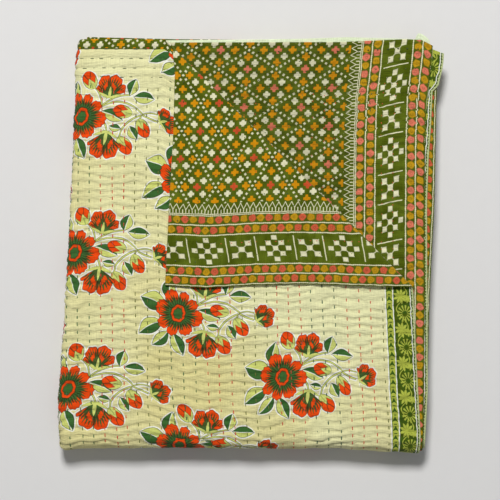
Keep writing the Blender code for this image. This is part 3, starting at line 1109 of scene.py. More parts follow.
@dataclass
class Stitching:
    """All the running stitches that show.

    Attributes:
        plan: where the rows go.
        cloths: the two cloths, whose outer faces they lie on.
        yarn: thickness of the thread.
        length: how long a stitch is on the front.
        dot: the same on the back.
        hem_length: the same in the rows along the hem.
        uneven: how much shorter than the rest the shortest stitches are, as a share.
    """

    plan: StitchPlan
    cloths: dict[Side, QuiltCloth]
    yarn: float = 0.00115
    length: float = 0.0052
    dot: float = 0.0018
    hem_length: float = 0.0064
    uneven: float = 0.22

    def down_the_cloth(self, row: int, side: Side, ends: tuple[float, float]) -> StitchRow:
        """One row down the cloth, a stitch in each pucker's valley.

        Args:
            row: its number from the right hem.
            side: the cloth.
            ends: where it starts and ends.

        Returns:
            Its stitches.
        """
        half = 0.0 if side is Side.BACK else 0.5
        beats = np.arange(ends[0] // self.plan.stitch, ends[1] // self.plan.stitch) + half
        rows = np.full(len(beats), float(row))
        v = beats * self.plan.stitch
        for _ in range(5):
            u = self.plan.row_place(rows, v)
            v = (beats - (self.plan.beats(u, v) - v / self.plan.stitch)) * self.plan.stitch
        kept = v > self.plan.columns_start() + 0.003
        thread = self.plan.colours[row % len(self.plan.colours)]
        return StitchRow(thread, side, u[kept], v[kept], self.length if side is Side.FRONT else self.dot)

    def along_the_hem(self, number: int, side: Side, width: float) -> StitchRow:
        """One row along the far hem."""
        rng = np.random.default_rng(40 + number)
        u = np.arange(0.012, width - 0.012, self.plan.hem_stitch) + 0.0035 * (number % 2)
        if side is Side.BACK:
            u = u + self.plan.hem_stitch / 2
        u = u + rng.uniform(-0.0007, 0.0007, len(u))
        v = self.plan.hem_rows[number] + rng.uniform(-0.0004, 0.0004, len(u))
        return StitchRow(Thread.HEM, side, u, v, self.hem_length if side is Side.FRONT else self.dot, True)

    def rows(self, side: Side) -> list[StitchRow]:
        """Every row that may show on a cloth."""
        stack = self.cloths[Side.FRONT].stack
        width = stack.woven_size(X)
        length = float(stack.lengths(Y)[1][3])
        found = []
        for row in range(int((width - 2 * self.plan.first) / self.plan.pitch) + 1):
            place = (self.plan.first + row * self.plan.pitch) / width
            if place < 0.27 or (side is Side.BACK and place > 0.74):
                found.append(self.down_the_cloth(row, side, (0.0, length)))
        return found + [self.along_the_hem(number, side, width) for number in range(len(self.plan.hem_rows))]

    def placed(self, row: StitchRow) -> tuple[np.ndarray, np.ndarray]:
        """The middles of a row's stitches that show, and their turns as Euler angles.

        Args:
            row: the stitches.

        Returns:
            Two arrays, one row a stitch.
        """
        cloth = self.cloths[row.side]
        shown = cloth.open_at(row.u, row.v)
        u, v = row.u[shown], row.v[shown]
        if not len(u):
            return np.empty((0, 3)), np.empty((0, 3))
        half = row.length * 0.42
        du, dv = (half, 0.0) if row.along_hem else (0.0, half)
        one, two = cloth.on_cloth(u - du, v - dv), cloth.on_cloth(u + du, v + dv)
        aside = cloth.on_cloth(u + dv / half * 0.001, v + du / half * 0.001)
        aside = aside - cloth.on_cloth(u - dv / half * 0.001, v - du / half * 0.001)
        along = (two - one) / np.linalg.norm(two - one, axis=1)[:, None]
        out = np.cross(along, aside) if row.along_hem else np.cross(aside, along)
        out *= 1 if row.side is Side.FRONT else -1
        out /= np.linalg.norm(out, axis=1)[:, None]
        middle = (one + two) / 2 + out * self.yarn * (1.0 if row.along_hem and row.v.mean() < 0.012 else 0.12)
        middle[:, Z] = np.maximum(middle[:, Z], self.yarn * 1.1)
        side = np.cross(out, along)
        turns = [Matrix(np.column_stack(axes).tolist()).to_euler() for axes in zip(along, side, out)]
        return middle, np.array([tuple(turn) for turn in turns])

    def build(self, side: Side, yarns: dict[Thread, Material]) -> list[Object]:
        """Makes one object of stitches on a cloth for each thread.

        Args:
            side: the cloth.
            yarns: the material of each thread.

        Returns:
            The objects, each a plain mesh.
        """
        tree = StitchNodes().build()
        sockets = {item.name: item.identifier for item in tree.interface.items_tree if item.in_out == "INPUT"}
        groups: dict[tuple[Thread, float], list[tuple[np.ndarray, np.ndarray]]] = {}
        for row in self.rows(side):
            groups.setdefault((row.thread, row.length), []).append(self.placed(row))
        made = []
        for number, ((thread, length), parts) in enumerate(groups.items()):
            middles, turns = (np.vstack(column) for column in zip(*parts))
            if not len(middles):
                continue
            points = bpy.data.meshes.new("stitch_places")
            points.from_pydata(middles.tolist(), [], [])
            turn = points.attributes.new("turn", "FLOAT_VECTOR", "POINT")
            turn.data.foreach_set("vector", turns.astype(np.float32).ravel())
            holder = add_object("stitch_places", points)
            modifier = holder.modifiers.new("stitches", "NODES")
            modifier.node_group = tree
            for name, value in (
                (StitchNodes.LENGTH, length),
                (StitchNodes.THICKNESS, self.yarn),
                (StitchNodes.UNEVEN, self.uneven),
                (StitchNodes.SEED, 100 + number),
                (StitchNodes.YARN, yarns[thread]),
            ):
                modifier[sockets[name]] = value
            evaluated = holder.evaluated_get(bpy.context.evaluated_depsgraph_get())
            mesh = bpy.data.meshes.new_from_object(evaluated)
            mesh.name = f"{thread.value}_stitches_{side.value}"
            mesh.shade_smooth()
            plain = add_object(mesh.name, mesh)
            bpy.data.objects.remove(holder)
            made.append(plain)
            LOG.info("%s: %d of them, %d faces", plain.name, len(middles), len(mesh.polygons))
        return made


@dataclass
class TurnedHem:
    """The back cloth's far end, brought round the far hem and turned down on the front.

    Attributes:
        stack: the fold plan.
        stitches: the stitch plan, whose first row holds it down.
        width: how far it reaches over the front.
        thick: its thickness where it lies in the open.
        pressed: the same between two layers.
        step: distance between its sections where it shows.
    """

    stack: FoldedStack
    stitches: StitchPlan
    width: float = 0.0112
    thick: float = 0.00050
    pressed: float = 0.00012
    step: float = 0.0022

    def section(self) -> list[tuple[float, float, float, float]]:
        """Its closed section: distance in, height, share of the thickness and share of the relief."""
        quilt = self.stack.quilt
        wrap = [(-0.0003, 0.0003), (-0.0010, 0.0004), (-0.0014, 0.0009), (-0.0014, 0.0017), (-0.0010, quilt)]
        steps = [self.width * share for share in (0.0, 0.12, 0.28, 0.46, 0.64, 0.82, 0.96)]
        outer = [(down, height, 0.0, 0.0) for down, height in wrap]
        outer += [(down, quilt, 1.0, min(1.0, down / 0.002)) for down in steps]
        inner = [(self.width, quilt, 0.3, 1.0), (self.width * 0.94, quilt - 0.0002, 0.0, 1.0)]
        inner += [(self.width * 0.3, quilt - 0.0002, 0.0, 1.0), (0.0, quilt - 0.0003, 0.0, 0.0)]
        inner += [(-0.0006, 0.0017, 0.0, 0.0), (-0.0006, 0.0009, 0.0, 0.0)]
        return outer + inner

    def places_across(self) -> np.ndarray:
        """Where its sections stand, lowest X first."""
        low_x, high_x, _, _ = self.stack.panel(0, 0)
        near = self.stack.crease_top[0]
        found = set(self.stack.stations(X))
        found |= set(np.arange(low_x, high_x, self.step)) | set(np.arange(near - 0.012, near + 0.016, 0.0007))
        return np.array(sorted({round(x, 6) for x in found}))

    def build(self) -> tuple[np.ndarray, np.ndarray, list[tuple[int, ...]]]:
        """Makes its flat points, their distances over the cloth and its faces."""
        stack, section = self.stack, self.section()
        xs = self.places_across()
        down, height, part, relief = (np.tile(column, len(xs)) for column in np.array(section).T)
        even = np.column_stack((np.repeat(xs, len(section)), stack.limits(Y)[1] - down))
        points = stack.drawn_to_hems(np.column_stack((even, np.zeros(len(even)))))
        front = QuiltCloth(Side.FRONT, stack, self.stitches)
        shown = front.covered(even, points[:, :2])
        lie = front.outer_height(even, points[:, :2]) - stack.quilt
        thick = self.pressed + (self.thick - self.pressed) * shown
        points[:, Z] = height + part * thick + relief * lie
        metres = stack.cloth_metres(even)
        metres[:, 1] = -down
        count, faces = len(section), []
        for k in range(len(xs) - 1):
            for n in range(count):
                a, b = k * count + n, k * count + (n + 1) % count
                faces.append((a, b, b + count, a + count))
        last = (len(xs) - 1) * count
        faces += [tuple(range(count))[::-1], tuple(range(last, last + count))]
        return points, metres, faces


Colour = tuple[float, float, float]


def srgb(code: str) -> Colour:
    """A colour in light's own scale, from its six-digit web code."""
    parts = (int(code[k : k + 2], 16) / 255 for k in (0, 2, 4))
    return tuple(p / 12.92 if p <= 0.04045 else ((p + 0.055) / 1.055) ** 2.4 for p in parts)


class Ink:
    """The colours of the two prints."""

    WHITE = srgb("E9E9DD")
    GROUND = srgb("E1DFAD")
    GROUND_OLD = srgb("D8CF90")
    RED = srgb("E54A10")
    DARK = srgb("3C6630")
    LIGHT = srgb("C9CF72")
    LINE = srgb("33331A")
    BAND = srgb("3A5A18")
    BAND_LIGHT = srgb("AAB346")
    EDGE = srgb("B7C08A")
    SELVAGE = srgb("DDE8C4")
    FIELD = srgb("4A5608")
    FIELD_WORN = srgb("5F6D1A")
    CREAM = srgb("DEDAB6")
    OCHRE = srgb("CF8C0C")
    DOT_OCHRE = srgb("B98F17")
    RUST = srgb("C4502A")
    CORAL = srgb("D7755A")


@dataclass(frozen=True)
class Wire:
    """A number or a colour that flows through a shader's nodes."""

    tree: NodeTree
    socket: NodeSocket

    def math(self, operation: str, *others: "Wire | float", clamp: bool = False) -> "Wire":
        """Adds a Math node whose first input is this wire."""
        node = self.tree.nodes.new("ShaderNodeMath")
        node.operation = operation
        node.use_clamp = clamp
        for slot, value in zip(node.inputs, (self, *others)):
            if isinstance(value, Wire):
                self.tree.links.new(value.socket, slot)
            else:
                slot.default_value = value
        return Wire(self.tree, node.outputs[0])

    def __add__(self, other: "Wire | float") -> "Wire":
        """The sum of two."""
        return self.math("ADD", other)

    def __sub__(self, other: "Wire | float") -> "Wire":
        """This one less another."""
        return self.math("SUBTRACT", other)

    def __mul__(self, other: "Wire | float") -> "Wire":
        """Two multiplied."""
        return self.math("MULTIPLY", other)

    def __truediv__(self, other: "Wire | float") -> "Wire":
        """This one divided by another."""
        return self.math("DIVIDE", other)

    def __abs__(self) -> "Wire":
        """Its size, without its sign."""
        return self.math("ABSOLUTE")

    def scaled(self, factor: "Wire | float", more: "Wire | float") -> "Wire":
        """The wire times a factor, plus more."""
        return self.math("MULTIPLY_ADD", factor, more)

    def least(self, other: "Wire | float") -> "Wire":
        """The lower of two."""
        return self.math("MINIMUM", other)

    def most(self, other: "Wire | float") -> "Wire":
        """The higher of two."""
        return self.math("MAXIMUM", other)

    def above(self, value: float, soft: float = 0.35) -> "Wire":
        """1 above a value and 0 below it, with a soft step."""
        return self.math("MULTIPLY_ADD", 1 / soft, 0.5 - value / soft, clamp=True)

    def below(self, value: float, soft: float = 0.35) -> "Wire":
        """1 below a value and 0 above it, with a soft step."""
        return self.math("MULTIPLY_ADD", -1 / soft, 0.5 + value / soft, clamp=True)

    def wrapped(self, period: float) -> "Wire":
        """The distance from the nearest multiple of a period, with its sign."""
        return self.math("WRAP", period / 2, -period / 2)

    def spikes(self, count: float, shift: float = 0.0) -> "Wire":
        """A row of points from 0 up to 1 and back, some number of them in each unit."""
        return self.scaled(count, shift).math("PINGPONG", 0.5) * 2.0


@dataclass(frozen=True)
class Canvas:
    """A shader node tree that a print is drawn in."""

    tree: NodeTree

    def node(self, kind: str, **inputs: object) -> Node:
        """Adds a node and sets or links its inputs by name."""
        made = self.tree.nodes.new(kind)
        for name, value in inputs.items():
            self.feed(made.inputs[name], value)
        return made

    def feed(self, slot: NodeSocket, value: object) -> None:
        """Links a wire to an input, or sets the input to a number, a vector or a colour."""
        if isinstance(value, Wire):
            self.tree.links.new(value.socket, slot)
        elif slot.type == "RGBA":
            slot.default_value = (*value, 1.0)
        elif slot.type == "VECTOR":
            slot.default_value = (*value, 0.0)[:3]
        else:
            slot.default_value = value

    def over(self, under: "Wire | Colour", ink: "Wire | Colour", mask: Wire) -> Wire:
        """An ink laid over what is there, where its mask is 1."""
        node = self.tree.nodes.new("ShaderNodeMix")
        node.data_type = "RGBA"
        self.feed(node.inputs[0], mask)
        self.feed(node.inputs[6], under)
        self.feed(node.inputs[7], ink)
        return Wire(self.tree, node.outputs[2])

    def blend(self, one: "Wire | float", two: "Wire | float", share: Wire) -> Wire:
        """A number that goes from one to another."""
        node = self.tree.nodes.new("ShaderNodeMix")
        self.feed(node.inputs[0], share)
        self.feed(node.inputs[2], one)
        self.feed(node.inputs[3], two)
        return Wire(self.tree, node.outputs[0])

    def split(self, vector: Wire) -> tuple[Wire, Wire]:
        """The first two numbers of a vector."""
        node = self.node("ShaderNodeSeparateXYZ", Vector=vector)
        return Wire(self.tree, node.outputs[0]), Wire(self.tree, node.outputs[1])

    def reach(self, x: Wire, y: Wire) -> Wire:
        """The distance from the middle."""
        return (x * x).math("ADD", y * y).math("SQRT")

    def noise(
        self, place: Wire, stretch: tuple[float, float], detail: float = 1.0, shift: float = 0.0
    ) -> Wire:
        """Smooth unevenness from 0 to 1, with so many lumps in a unit along each direction."""
        node = self.tree.nodes.new("ShaderNodeMapping")
        node.inputs["Scale"].default_value = (*stretch, 1)
        node.inputs["Location"].default_value = (shift, 2.7 * shift, 0)
        self.feed(node.inputs["Vector"], place)
        made = self.tree.nodes.new("ShaderNodeTexNoise")
        made.noise_dimensions = "2D"
        made.inputs["Scale"].default_value = 1.0
        made.inputs["Detail"].default_value = detail
        self.tree.links.new(node.outputs[0], made.inputs["Vector"])
        return Wire(self.tree, made.outputs[0])

    def use(self, group: NodeTree, **inputs: object) -> dict[str, Wire]:
        """Adds a node group and returns its outputs by name."""
        node = self.tree.nodes.new("ShaderNodeGroup")
        node.node_tree = group
        for name, value in inputs.items():
            self.feed(node.inputs[name], value)
        return {out.name: Wire(self.tree, out) for out in node.outputs}


SOCKETS = {float: "NodeSocketFloat", tuple: "NodeSocketVector", Colour: "NodeSocketColor"}


def shader_group(
    name: str, takes: dict[str, object], gives: dict[str, object]
) -> tuple[Canvas, dict[str, Wire]]:
    """Starts a shader node group.

    Args:
        name: the group's name.
        takes: its inputs, by name, each with its kind.
        gives: its outputs.

    Returns:
        The group as a canvas, and its inputs by name.
    """
    tree = bpy.data.node_groups.new(name, "ShaderNodeTree")
    for label, kind in takes.items():
        tree.interface.new_socket(label, in_out="INPUT", socket_type=SOCKETS[kind])
    for label, kind in gives.items():
        tree.interface.new_socket(label, in_out="OUTPUT", socket_type=SOCKETS[kind])
    source = tree.nodes.new("NodeGroupInput")
    return Canvas(tree), {label: Wire(tree, source.outputs[label]) for label in takes}


def finish_group(canvas: Canvas, **outputs: Wire) -> NodeTree:
    """Links a group's outputs by name."""
    sink = canvas.tree.nodes.new("NodeGroupOutput")
    for label, wire in outputs.items():
        canvas.tree.links.new(wire.socket, sink.inputs[label])
    return canvas.tree


def start_material(name: str, roughness: float, specular: float) -> tuple[Material, Canvas, Node]:
    """Starts a material: gives it, its nodes as a canvas, and its shader with these two values set."""
    made = bpy.data.materials.new(name)
    made.use_nodes = True
    shader = made.node_tree.nodes["Principled BSDF"]
    shader.inputs["Roughness"].default_value = roughness
    shader.inputs["Specular IOR Level"].default_value = specular
    return made, Canvas(made.node_tree), shader


CARRY = {"Colour": Colour, "Cover": float, "Halo": float}
PLACED = ("X", "Y", "Cos", "Sin", "Along", "Across", "Length", "Width", "Bend")
MOTIF = dict.fromkeys(PLACED, float) | CARRY


@dataclass
class MotifShop:
    """The node groups that draw a spray's leaves, stems, buds, fans and blossoms, in millimetres.

    Each group lays its motif over the colour that it is given. Along a motif x runs from its base to its
    tip, and y is to the right of that.

    Attributes:
        halo: how far the white discharge round each motif reaches.
        line: how wide the printed outlines are.
    """

    halo: float = 1.5
    line: float = 0.8

    def local(self, given: dict[str, Wire]) -> tuple[Wire, Wire]:
        """The place along the motif from its base, and across it."""
        x, y, cos, sin = (given[name] for name in ("X", "Y", "Cos", "Sin"))
        return x.scaled(cos, y.scaled(sin, given["Along"])), y.scaled(cos, given["Across"]) - x * sin

    def swell(self, x: Wire, given: dict[str, Wire]) -> tuple[Wire, Wire]:
        """The share of the way along a motif, and a curve over it that is 1 half-way and 0 at the ends."""
        share = x / given["Length"]
        return share, share.scaled(-4.0, 4.0) * share

    def lay(self, canvas: Canvas, given: dict[str, Wire], colour: Wire, depth: Wire) -> NodeTree:
        """Lays a finished motif over what it is given, by how deep inside it each place is."""
        cover = depth.above(0.0, 0.4)
        return finish_group(
            canvas,
            Colour=canvas.over(given["Colour"], colour, cover),
            Cover=given["Cover"].most(cover),
            Halo=given["Halo"].most(depth.above(-self.halo, 0.6)),
        )

    def leaf(self) -> NodeTree:
        """A pointed leaf, dark on one side of its white midrib and light on the other."""
        canvas, given = shader_group("leaf", {**MOTIF, "Dark side": float}, CARRY)
        x, y = self.local(given)
        share, swell = self.swell(x, given)
        y = y - swell * given["Bend"]
        depth = swell.math("POWER", 1.12) * given["Width"] - abs(y)
        depth = depth.least(swell * 30.0)
        side = y * given["Dark side"]
        colour = canvas.over(Ink.WHITE, Ink.LIGHT, side.below(-0.7, 0.4))
        vein = side.spikes(0.16, 0.2).above(0.93, 0.1) * share.above(0.25, 0.1)
        colour = canvas.over(colour, Ink.DARK, side.above(0.15, 0.4))
        colour = canvas.over(colour, Ink.LINE, (vein * 0.25).most(depth.below(self.line, 0.3) * 0.85))
        return self.lay(canvas, given, colour, depth)

    def stem(self) -> NodeTree:
        """A thin bent stem."""
        canvas, given = shader_group("stem", MOTIF, CARRY)
        x, y = self.local(given)
        share, swell = self.swell(x, given)
        y = y - swell * given["Bend"]
        depth = (given["Width"] - abs(y)).least(swell * 6.0)
        colour = canvas.over(Ink.LIGHT, Ink.LINE, depth.below(0.6, 0.4) * 0.9)
        return self.lay(canvas, given, colour, depth)

    def bud(self) -> NodeTree:
        """A closed bud, its lower third in pointed sepals."""
        canvas, given = shader_group("bud", MOTIF, CARRY)
        x, y = self.local(given)
        share, swell = self.swell(x, given)
        girth = swell.most(0.0).math("POWER", 0.55)
        across = y / given["Width"]
        frill = across.spikes(1.4, 0.3) * 0.9
        depth = ((girth - abs(across)) * given["Width"]).least(swell * 30.0)
        depth = depth.least((share.scaled(-1.0, 0.99) * given["Length"]) + frill)
        curve = share.scaled(-1.3, 0.62)
        folds = abs(across - curve).below(0.07, 0.08).most(abs(across + curve * 0.8).below(0.05, 0.06))
        colour = canvas.over(Ink.RED, Ink.LINE, folds * share.above(0.42, 0.1) * 0.85)
        teeth = share - across.spikes(1.05, 0.5) * 0.34
        colour = canvas.over(colour, Ink.LINE, teeth.below(0.30, 0.05) * 0.8)
        colour = canvas.over(colour, Ink.LIGHT, teeth.below(0.255, 0.05))
        rib = abs(across).below(0.07, 0.08) * share.below(0.4, 0.1)
        colour = canvas.over(colour, Ink.DARK, rib * 0.5)
        colour = canvas.over(colour, Ink.LINE, depth.below(self.line, 0.3) * 0.8)
        return self.lay(canvas, given, colour, depth)

    def fan(self) -> NodeTree:
        """A half-open flower: a fan of petals with a hairy dark heart, in a star of sepals."""
        canvas, given = shader_group("fan", MOTIF, CARRY)
        x, y = self.local(given)
        reach = canvas.reach(x, y)
        angle = y.math("ARCTAN2", x)
        size = given["Length"]
        lobes = abs((angle * 4.3 + given["Bend"]).math("SINE"))
        rim = lobes.math("POWER", 0.4).scaled(0.20, 0.80) + angle.spikes(3.1).scaled(0.05, -0.03)
        narrowed = (angle * angle).scaled(-0.27, 1.02)
        rim = rim * narrowed * size
        spread = ((given["Width"] - abs(angle)) * reach).least(rim - reach)
        hair = angle.spikes(7.6, 0.1)
        lean = lobes.scaled(0.10, 0.50)
        heart = (hair.scaled(0.28, lean) * narrowed * size) - reach
        streak = angle.spikes(5.2, 0.2).below(0.42, 0.3) * reach.above(7.0, 4.0)
        fold = abs(reach / size - (angle * 4.3 + given["Bend"]).math("COSINE").scaled(0.10, 0.52))
        inner = hair.scaled(0.05, 0.06) - fold
        edge = lobes.below(0.16, 0.1) * reach.above(9.0, 4.0)
        colour = canvas.over(Ink.RED, Ink.LINE, edge * 0.9)
        colour = canvas.over(colour, Ink.LINE, heart.above(-0.9, 0.5) * 0.9)
        colour = canvas.over(colour, Ink.DARK, heart.above(0.3, 0.5) * streak.scaled(-0.8, 1.0))
        petal = inner.above(0.0, 0.02) * angle.spikes(1.35, 0.15).above(0.45, 0.15)
        colour = canvas.over(colour, Ink.LINE, inner.above(-0.03, 0.02) * petal.above(0.01, 0.1) * 0.8)
        colour = canvas.over(colour, Ink.RED, petal)
        points = angle.spikes(0.86, 0.5).math("POWER", 1.9)
        star = points.scaled(0.40, 0.11) * size - reach
        star = star.least(abs(angle).scaled(-12.0, 24.0))
        colour = canvas.over(colour, Ink.LIGHT, star.above(0.35, 0.4))
        depth = spread.most(star)
        outline = depth.below(self.line, 0.3).most(abs(star).below(0.3, 0.3))
        colour = canvas.over(colour, Ink.LINE, outline * 0.8)
        return self.lay(canvas, given, colour, depth)

    def blossom(self) -> NodeTree:
        """A full flower with eight uneven petals, a hairy dark heart and an oval ring."""
        canvas, given = shader_group("blossom", MOTIF, CARRY)
        x, y = self.local(given)
        reach = canvas.reach(x, y)
        plain = y.math("ARCTAN2", x)
        angle = (plain * 2.0 + 2.09).math("SINE").scaled(0.17, plain)
        size = given["Length"]
        lobes = abs((angle * 4.0 + given["Bend"]).math("SINE"))
        uneven = (plain * 3.0 + 1.1).math("SINE").scaled(0.045, 1.0) * size
        rim = lobes.math("POWER", 0.42).scaled(0.34, 0.66)
        frill = plain.spikes(5.1).scaled(0.05, -0.025)
        depth = (rim + frill) * uneven - reach
        edge = lobes.below(0.17, 0.12) * reach.above(15.0, 4.0)
        colour = canvas.over(Ink.RED, Ink.LINE, edge * 0.9)
        hair = plain.spikes(7.162)
        tuft = plain.spikes(2.387, 0.2)
        streak = plain.spikes(4.775, 0.3).below(0.40, 0.3) * reach.above(10.5, 4.0)
        heart = (hair.scaled(0.24, 0.44) + tuft * 0.13) * uneven - reach
        colour = canvas.over(colour, Ink.LINE, heart.above(-1.1, 0.5) * 0.9)
        colour = canvas.over(colour, Ink.DARK, heart.above(0.4, 0.8))
        colour = canvas.over(colour, Ink.LINE, streak * heart.above(0.5, 1.5) * 0.85)
        oval = canvas.reach(x.scaled(0.108, y * 0.028), y.scaled(0.086, x * -0.022))
        oval = oval + (plain * 8.0).math("SINE") * 0.035
        colour = canvas.over(colour, Ink.LINE, oval.below(1.07, 0.06) * 0.85)
        colour = canvas.over(colour, Ink.RED, oval.below(0.96, 0.06))
        colour = canvas.over(colour, Ink.LINE, oval.below(0.68, 0.05) * 0.9)
        colour = canvas.over(colour, Ink.DARK, oval.below(0.59, 0.06))
        colour = canvas.over(colour, Ink.LINE, depth.below(self.line, 0.3) * 0.85)
        return self.lay(canvas, given, colour, depth)


class Motif(NamedTuple):
    """One motif of a spray, in millimetres right and down from the big flower's middle.

    Attributes:
        kind: the MotifShop's method that draws it.
        base: where it starts.
        tip: where it ends.
        width: its half width in millimetres, or a fan's half spread in radians.
        bend: how far its middle bows to one side, or how far a flower's petals are turned.
        dark_side: which side of a leaf is dark, -1 or 1.
        far: whether it is drawn in the second frame.
    """

    kind: str
    base: tuple[float, float]
    tip: tuple[float, float]
    width: float
    bend: float = 0.0
    dark_side: float = -1.0
    far: bool = False


@dataclass(frozen=True)
class FrontPrint:
    """The front cloth's print: flower sprays in a half-drop repeat, and a border along both long hems.

    Attributes:
        woven_width: the cloth's width from hem to hem.
        woven_length: its length from the far hem to the near one.
        first: the big flower's distance in from the right hem and down from the far hem.
        across: distance from one column of sprays to the next.
        down: distance from one spray to the next below it.
        drop: how far every other column lies below its neighbours.
        skew: how far each column starts below the one to its right besides, as a share of the distance.
        far_shift: where the second frame lies, which holds the motifs marked far.
        spray: the motifs, lowest layer first.
    """

    woven_width: float
    woven_length: float
    first: tuple[float, float] = (161.0, 415.0)
    across: float = 130.0
    down: float = 170.0
    drop: float = 80.0
    skew: float = 0.079
    far_shift: float = 75.0
    spray: tuple[Motif, ...] = (
        Motif("stem", (23.5, -12.5), (60.0, -27.0), 1.25, -4.0),
        Motif("stem", (23.5, -12.0), (77.5, -1.5), 1.35, -11.0, far=True),
        Motif("stem", (76.0, -2.0), (95.0, 6.5), 1.3, 0.6, far=True),
        Motif("stem", (76.5, -2.5), (96.0, -2.5), 1.0, -1.5, far=True),
        Motif("stem", (75.5, -1.5), (50.0, 18.0), 1.35, 3.4, far=True),
        Motif("stem", (50.5, 16.5), (48.5, 27.0), 1.2, 0.0, far=True),
        Motif("stem", (75.0, 0.0), (71.0, 6.0), 1.1, 0.0, far=True),
        Motif("stem", (20.0, 2.0), (32.5, 21.0), 1.35, -3.6),
        Motif("stem", (13.0, -36.5), (24.0, -13.5), 1.25, -3.8),
        Motif("leaf", (-11.0, -11.0), (-7.5, -44.5), 8.6, -3.0),
        Motif("leaf", (-14.0, -3.0), (-47.0, -14.5), 12.0, 1.2),
        Motif("leaf", (-19.0, 13.5), (-49.0, 32.5), 10.0, 2.0),
        Motif("leaf", (-12.0, 23.0), (-32.5, 45.5), 7.2, -1.6),
        Motif("leaf", (-6.0, 24.0), (5.5, 53.0), 8.4, 0.8),
        Motif("leaf", (24.0, -7.0), (52.5, 5.5), 8.0, -1.0),
        Motif("leaf", (59.5, -26.0), (66.0, -47.0), 7.8, -0.6, far=True),
        Motif("leaf", (63.5, -24.5), (91.5, -21.5), 7.4, -0.4, far=True),
        Motif("leaf", (50.5, 15.5), (34.5, 12.0), 4.9, -0.8, 1.0),
        Motif("leaf", (61.5, 11.5), (71.5, 29.5), 6.6, 1.0, far=True),
        Motif("bud", (12.5, -34.0), (3.5, -56.5), 9.2),
        Motif("bud", (63.0, -2.5), (39.5, -10.0), 8.4, far=True),
        Motif("bud", (70.5, 3.5), (85.0, 26.0), 8.2, far=True),
        Motif("bud", (47.5, 25.0), (62.5, 47.5), 8.6, far=True),
        Motif("fan", (33.0, -23.0), (36.5, -53.0), 1.12, 0.5),
        Motif("fan", (98.5, 8.0), (119.5, -4.5), 1.2, 1.2, far=True),
        Motif("fan", (32.0, 18.5), (27.5, 53.5), 0.92, 0.1),
        Motif("blossom", (0.0, 0.0), (29.6, 0.0), 1.0, 0.55),
    )

    def build(self) -> NodeTree:
        """Makes the print as a node group: a place on the cloth in millimetres in, its colour out."""
        canvas, given = shader_group("front_print", {"Place": tuple}, {"Colour": Colour})
        u, v = canvas.split(given["Place"])
        smudge = canvas.noise(given["Place"], (0.055, 0.055), 2.0)
        inward = u - self.first[0] - v * 0.012
        spread = inward.scaled(0.000168, v.scaled(0.00014, -1.086))
        x = inward * spread + smudge.scaled(3.0, -1.5)
        y = v - self.first[1] + smudge.scaled(-2.0, 1.0)
        near, far = (self.frame(x, y, shift) for shift in (0.0, self.far_shift))
        shop = MotifShop()
        groups = {kind: getattr(shop, kind)() for kind in ("stem", "leaf", "bud", "fan", "blossom")}
        carry = {"Colour": Ink.GROUND, "Cover": 0.0, "Halo": 0.0}
        for motif in self.spray:
            (x0, y0), (x1, y1) = motif.base, motif.tip
            length = math.hypot(x1 - x0, y1 - y0)
            cos, sin = (x1 - x0) / length, (y1 - y0) / length
            x, y = far if motif.far else near
            given_motif = {"X": x, "Y": y, "Cos": cos, "Sin": sin, "Length": length}
            given_motif |= {"Along": -x0 * cos - y0 * sin, "Across": x0 * sin - y0 * cos}
            given_motif |= {"Width": motif.width, "Bend": motif.bend}
            if motif.kind == "leaf":
                given_motif["Dark side"] = motif.dark_side
            carry = canvas.use(groups[motif.kind], **given_motif, **carry)
        old = canvas.noise(given["Place"], (0.005, 0.005), 2.0, 3.0).above(0.5, 0.4)
        ground = canvas.over(Ink.GROUND, Ink.GROUND_OLD, old)
        colour = canvas.over(ground, Ink.WHITE, carry["Halo"])
        colour = canvas.over(colour, carry["Colour"], carry["Cover"])
        colour = self.border(canvas, given["Place"], colour)
        ragged = v + smudge.scaled(5.0, -2.5) - self.woven_length
        bare = ragged.above(-12.0, 1.5) * u.below(self.woven_width - 14.0, 2.0)
        return finish_group(canvas, Colour=canvas.over(colour, Ink.SELVAGE, bare))

    def frame(self, x: Wire, y: Wire, shift: float) -> tuple[Wire, Wire]:
        """Places in a repeat, measured from the big flower, for motifs near some shift to its right.

        Args:
            x: distance from the first big flower, inward.
            y: distance down from it.
            shift: the shift.

        Returns:
            The two distances within the repeat.
        """
        moved = x - shift
        column = (moved / self.across).math("ROUND").least(0.0)
        inside = moved - column * self.across
        drop = column.math("PINGPONG", 1.0) * self.drop - column * (self.across * self.skew)
        return inside + shift, (y - drop).wrapped(self.down)

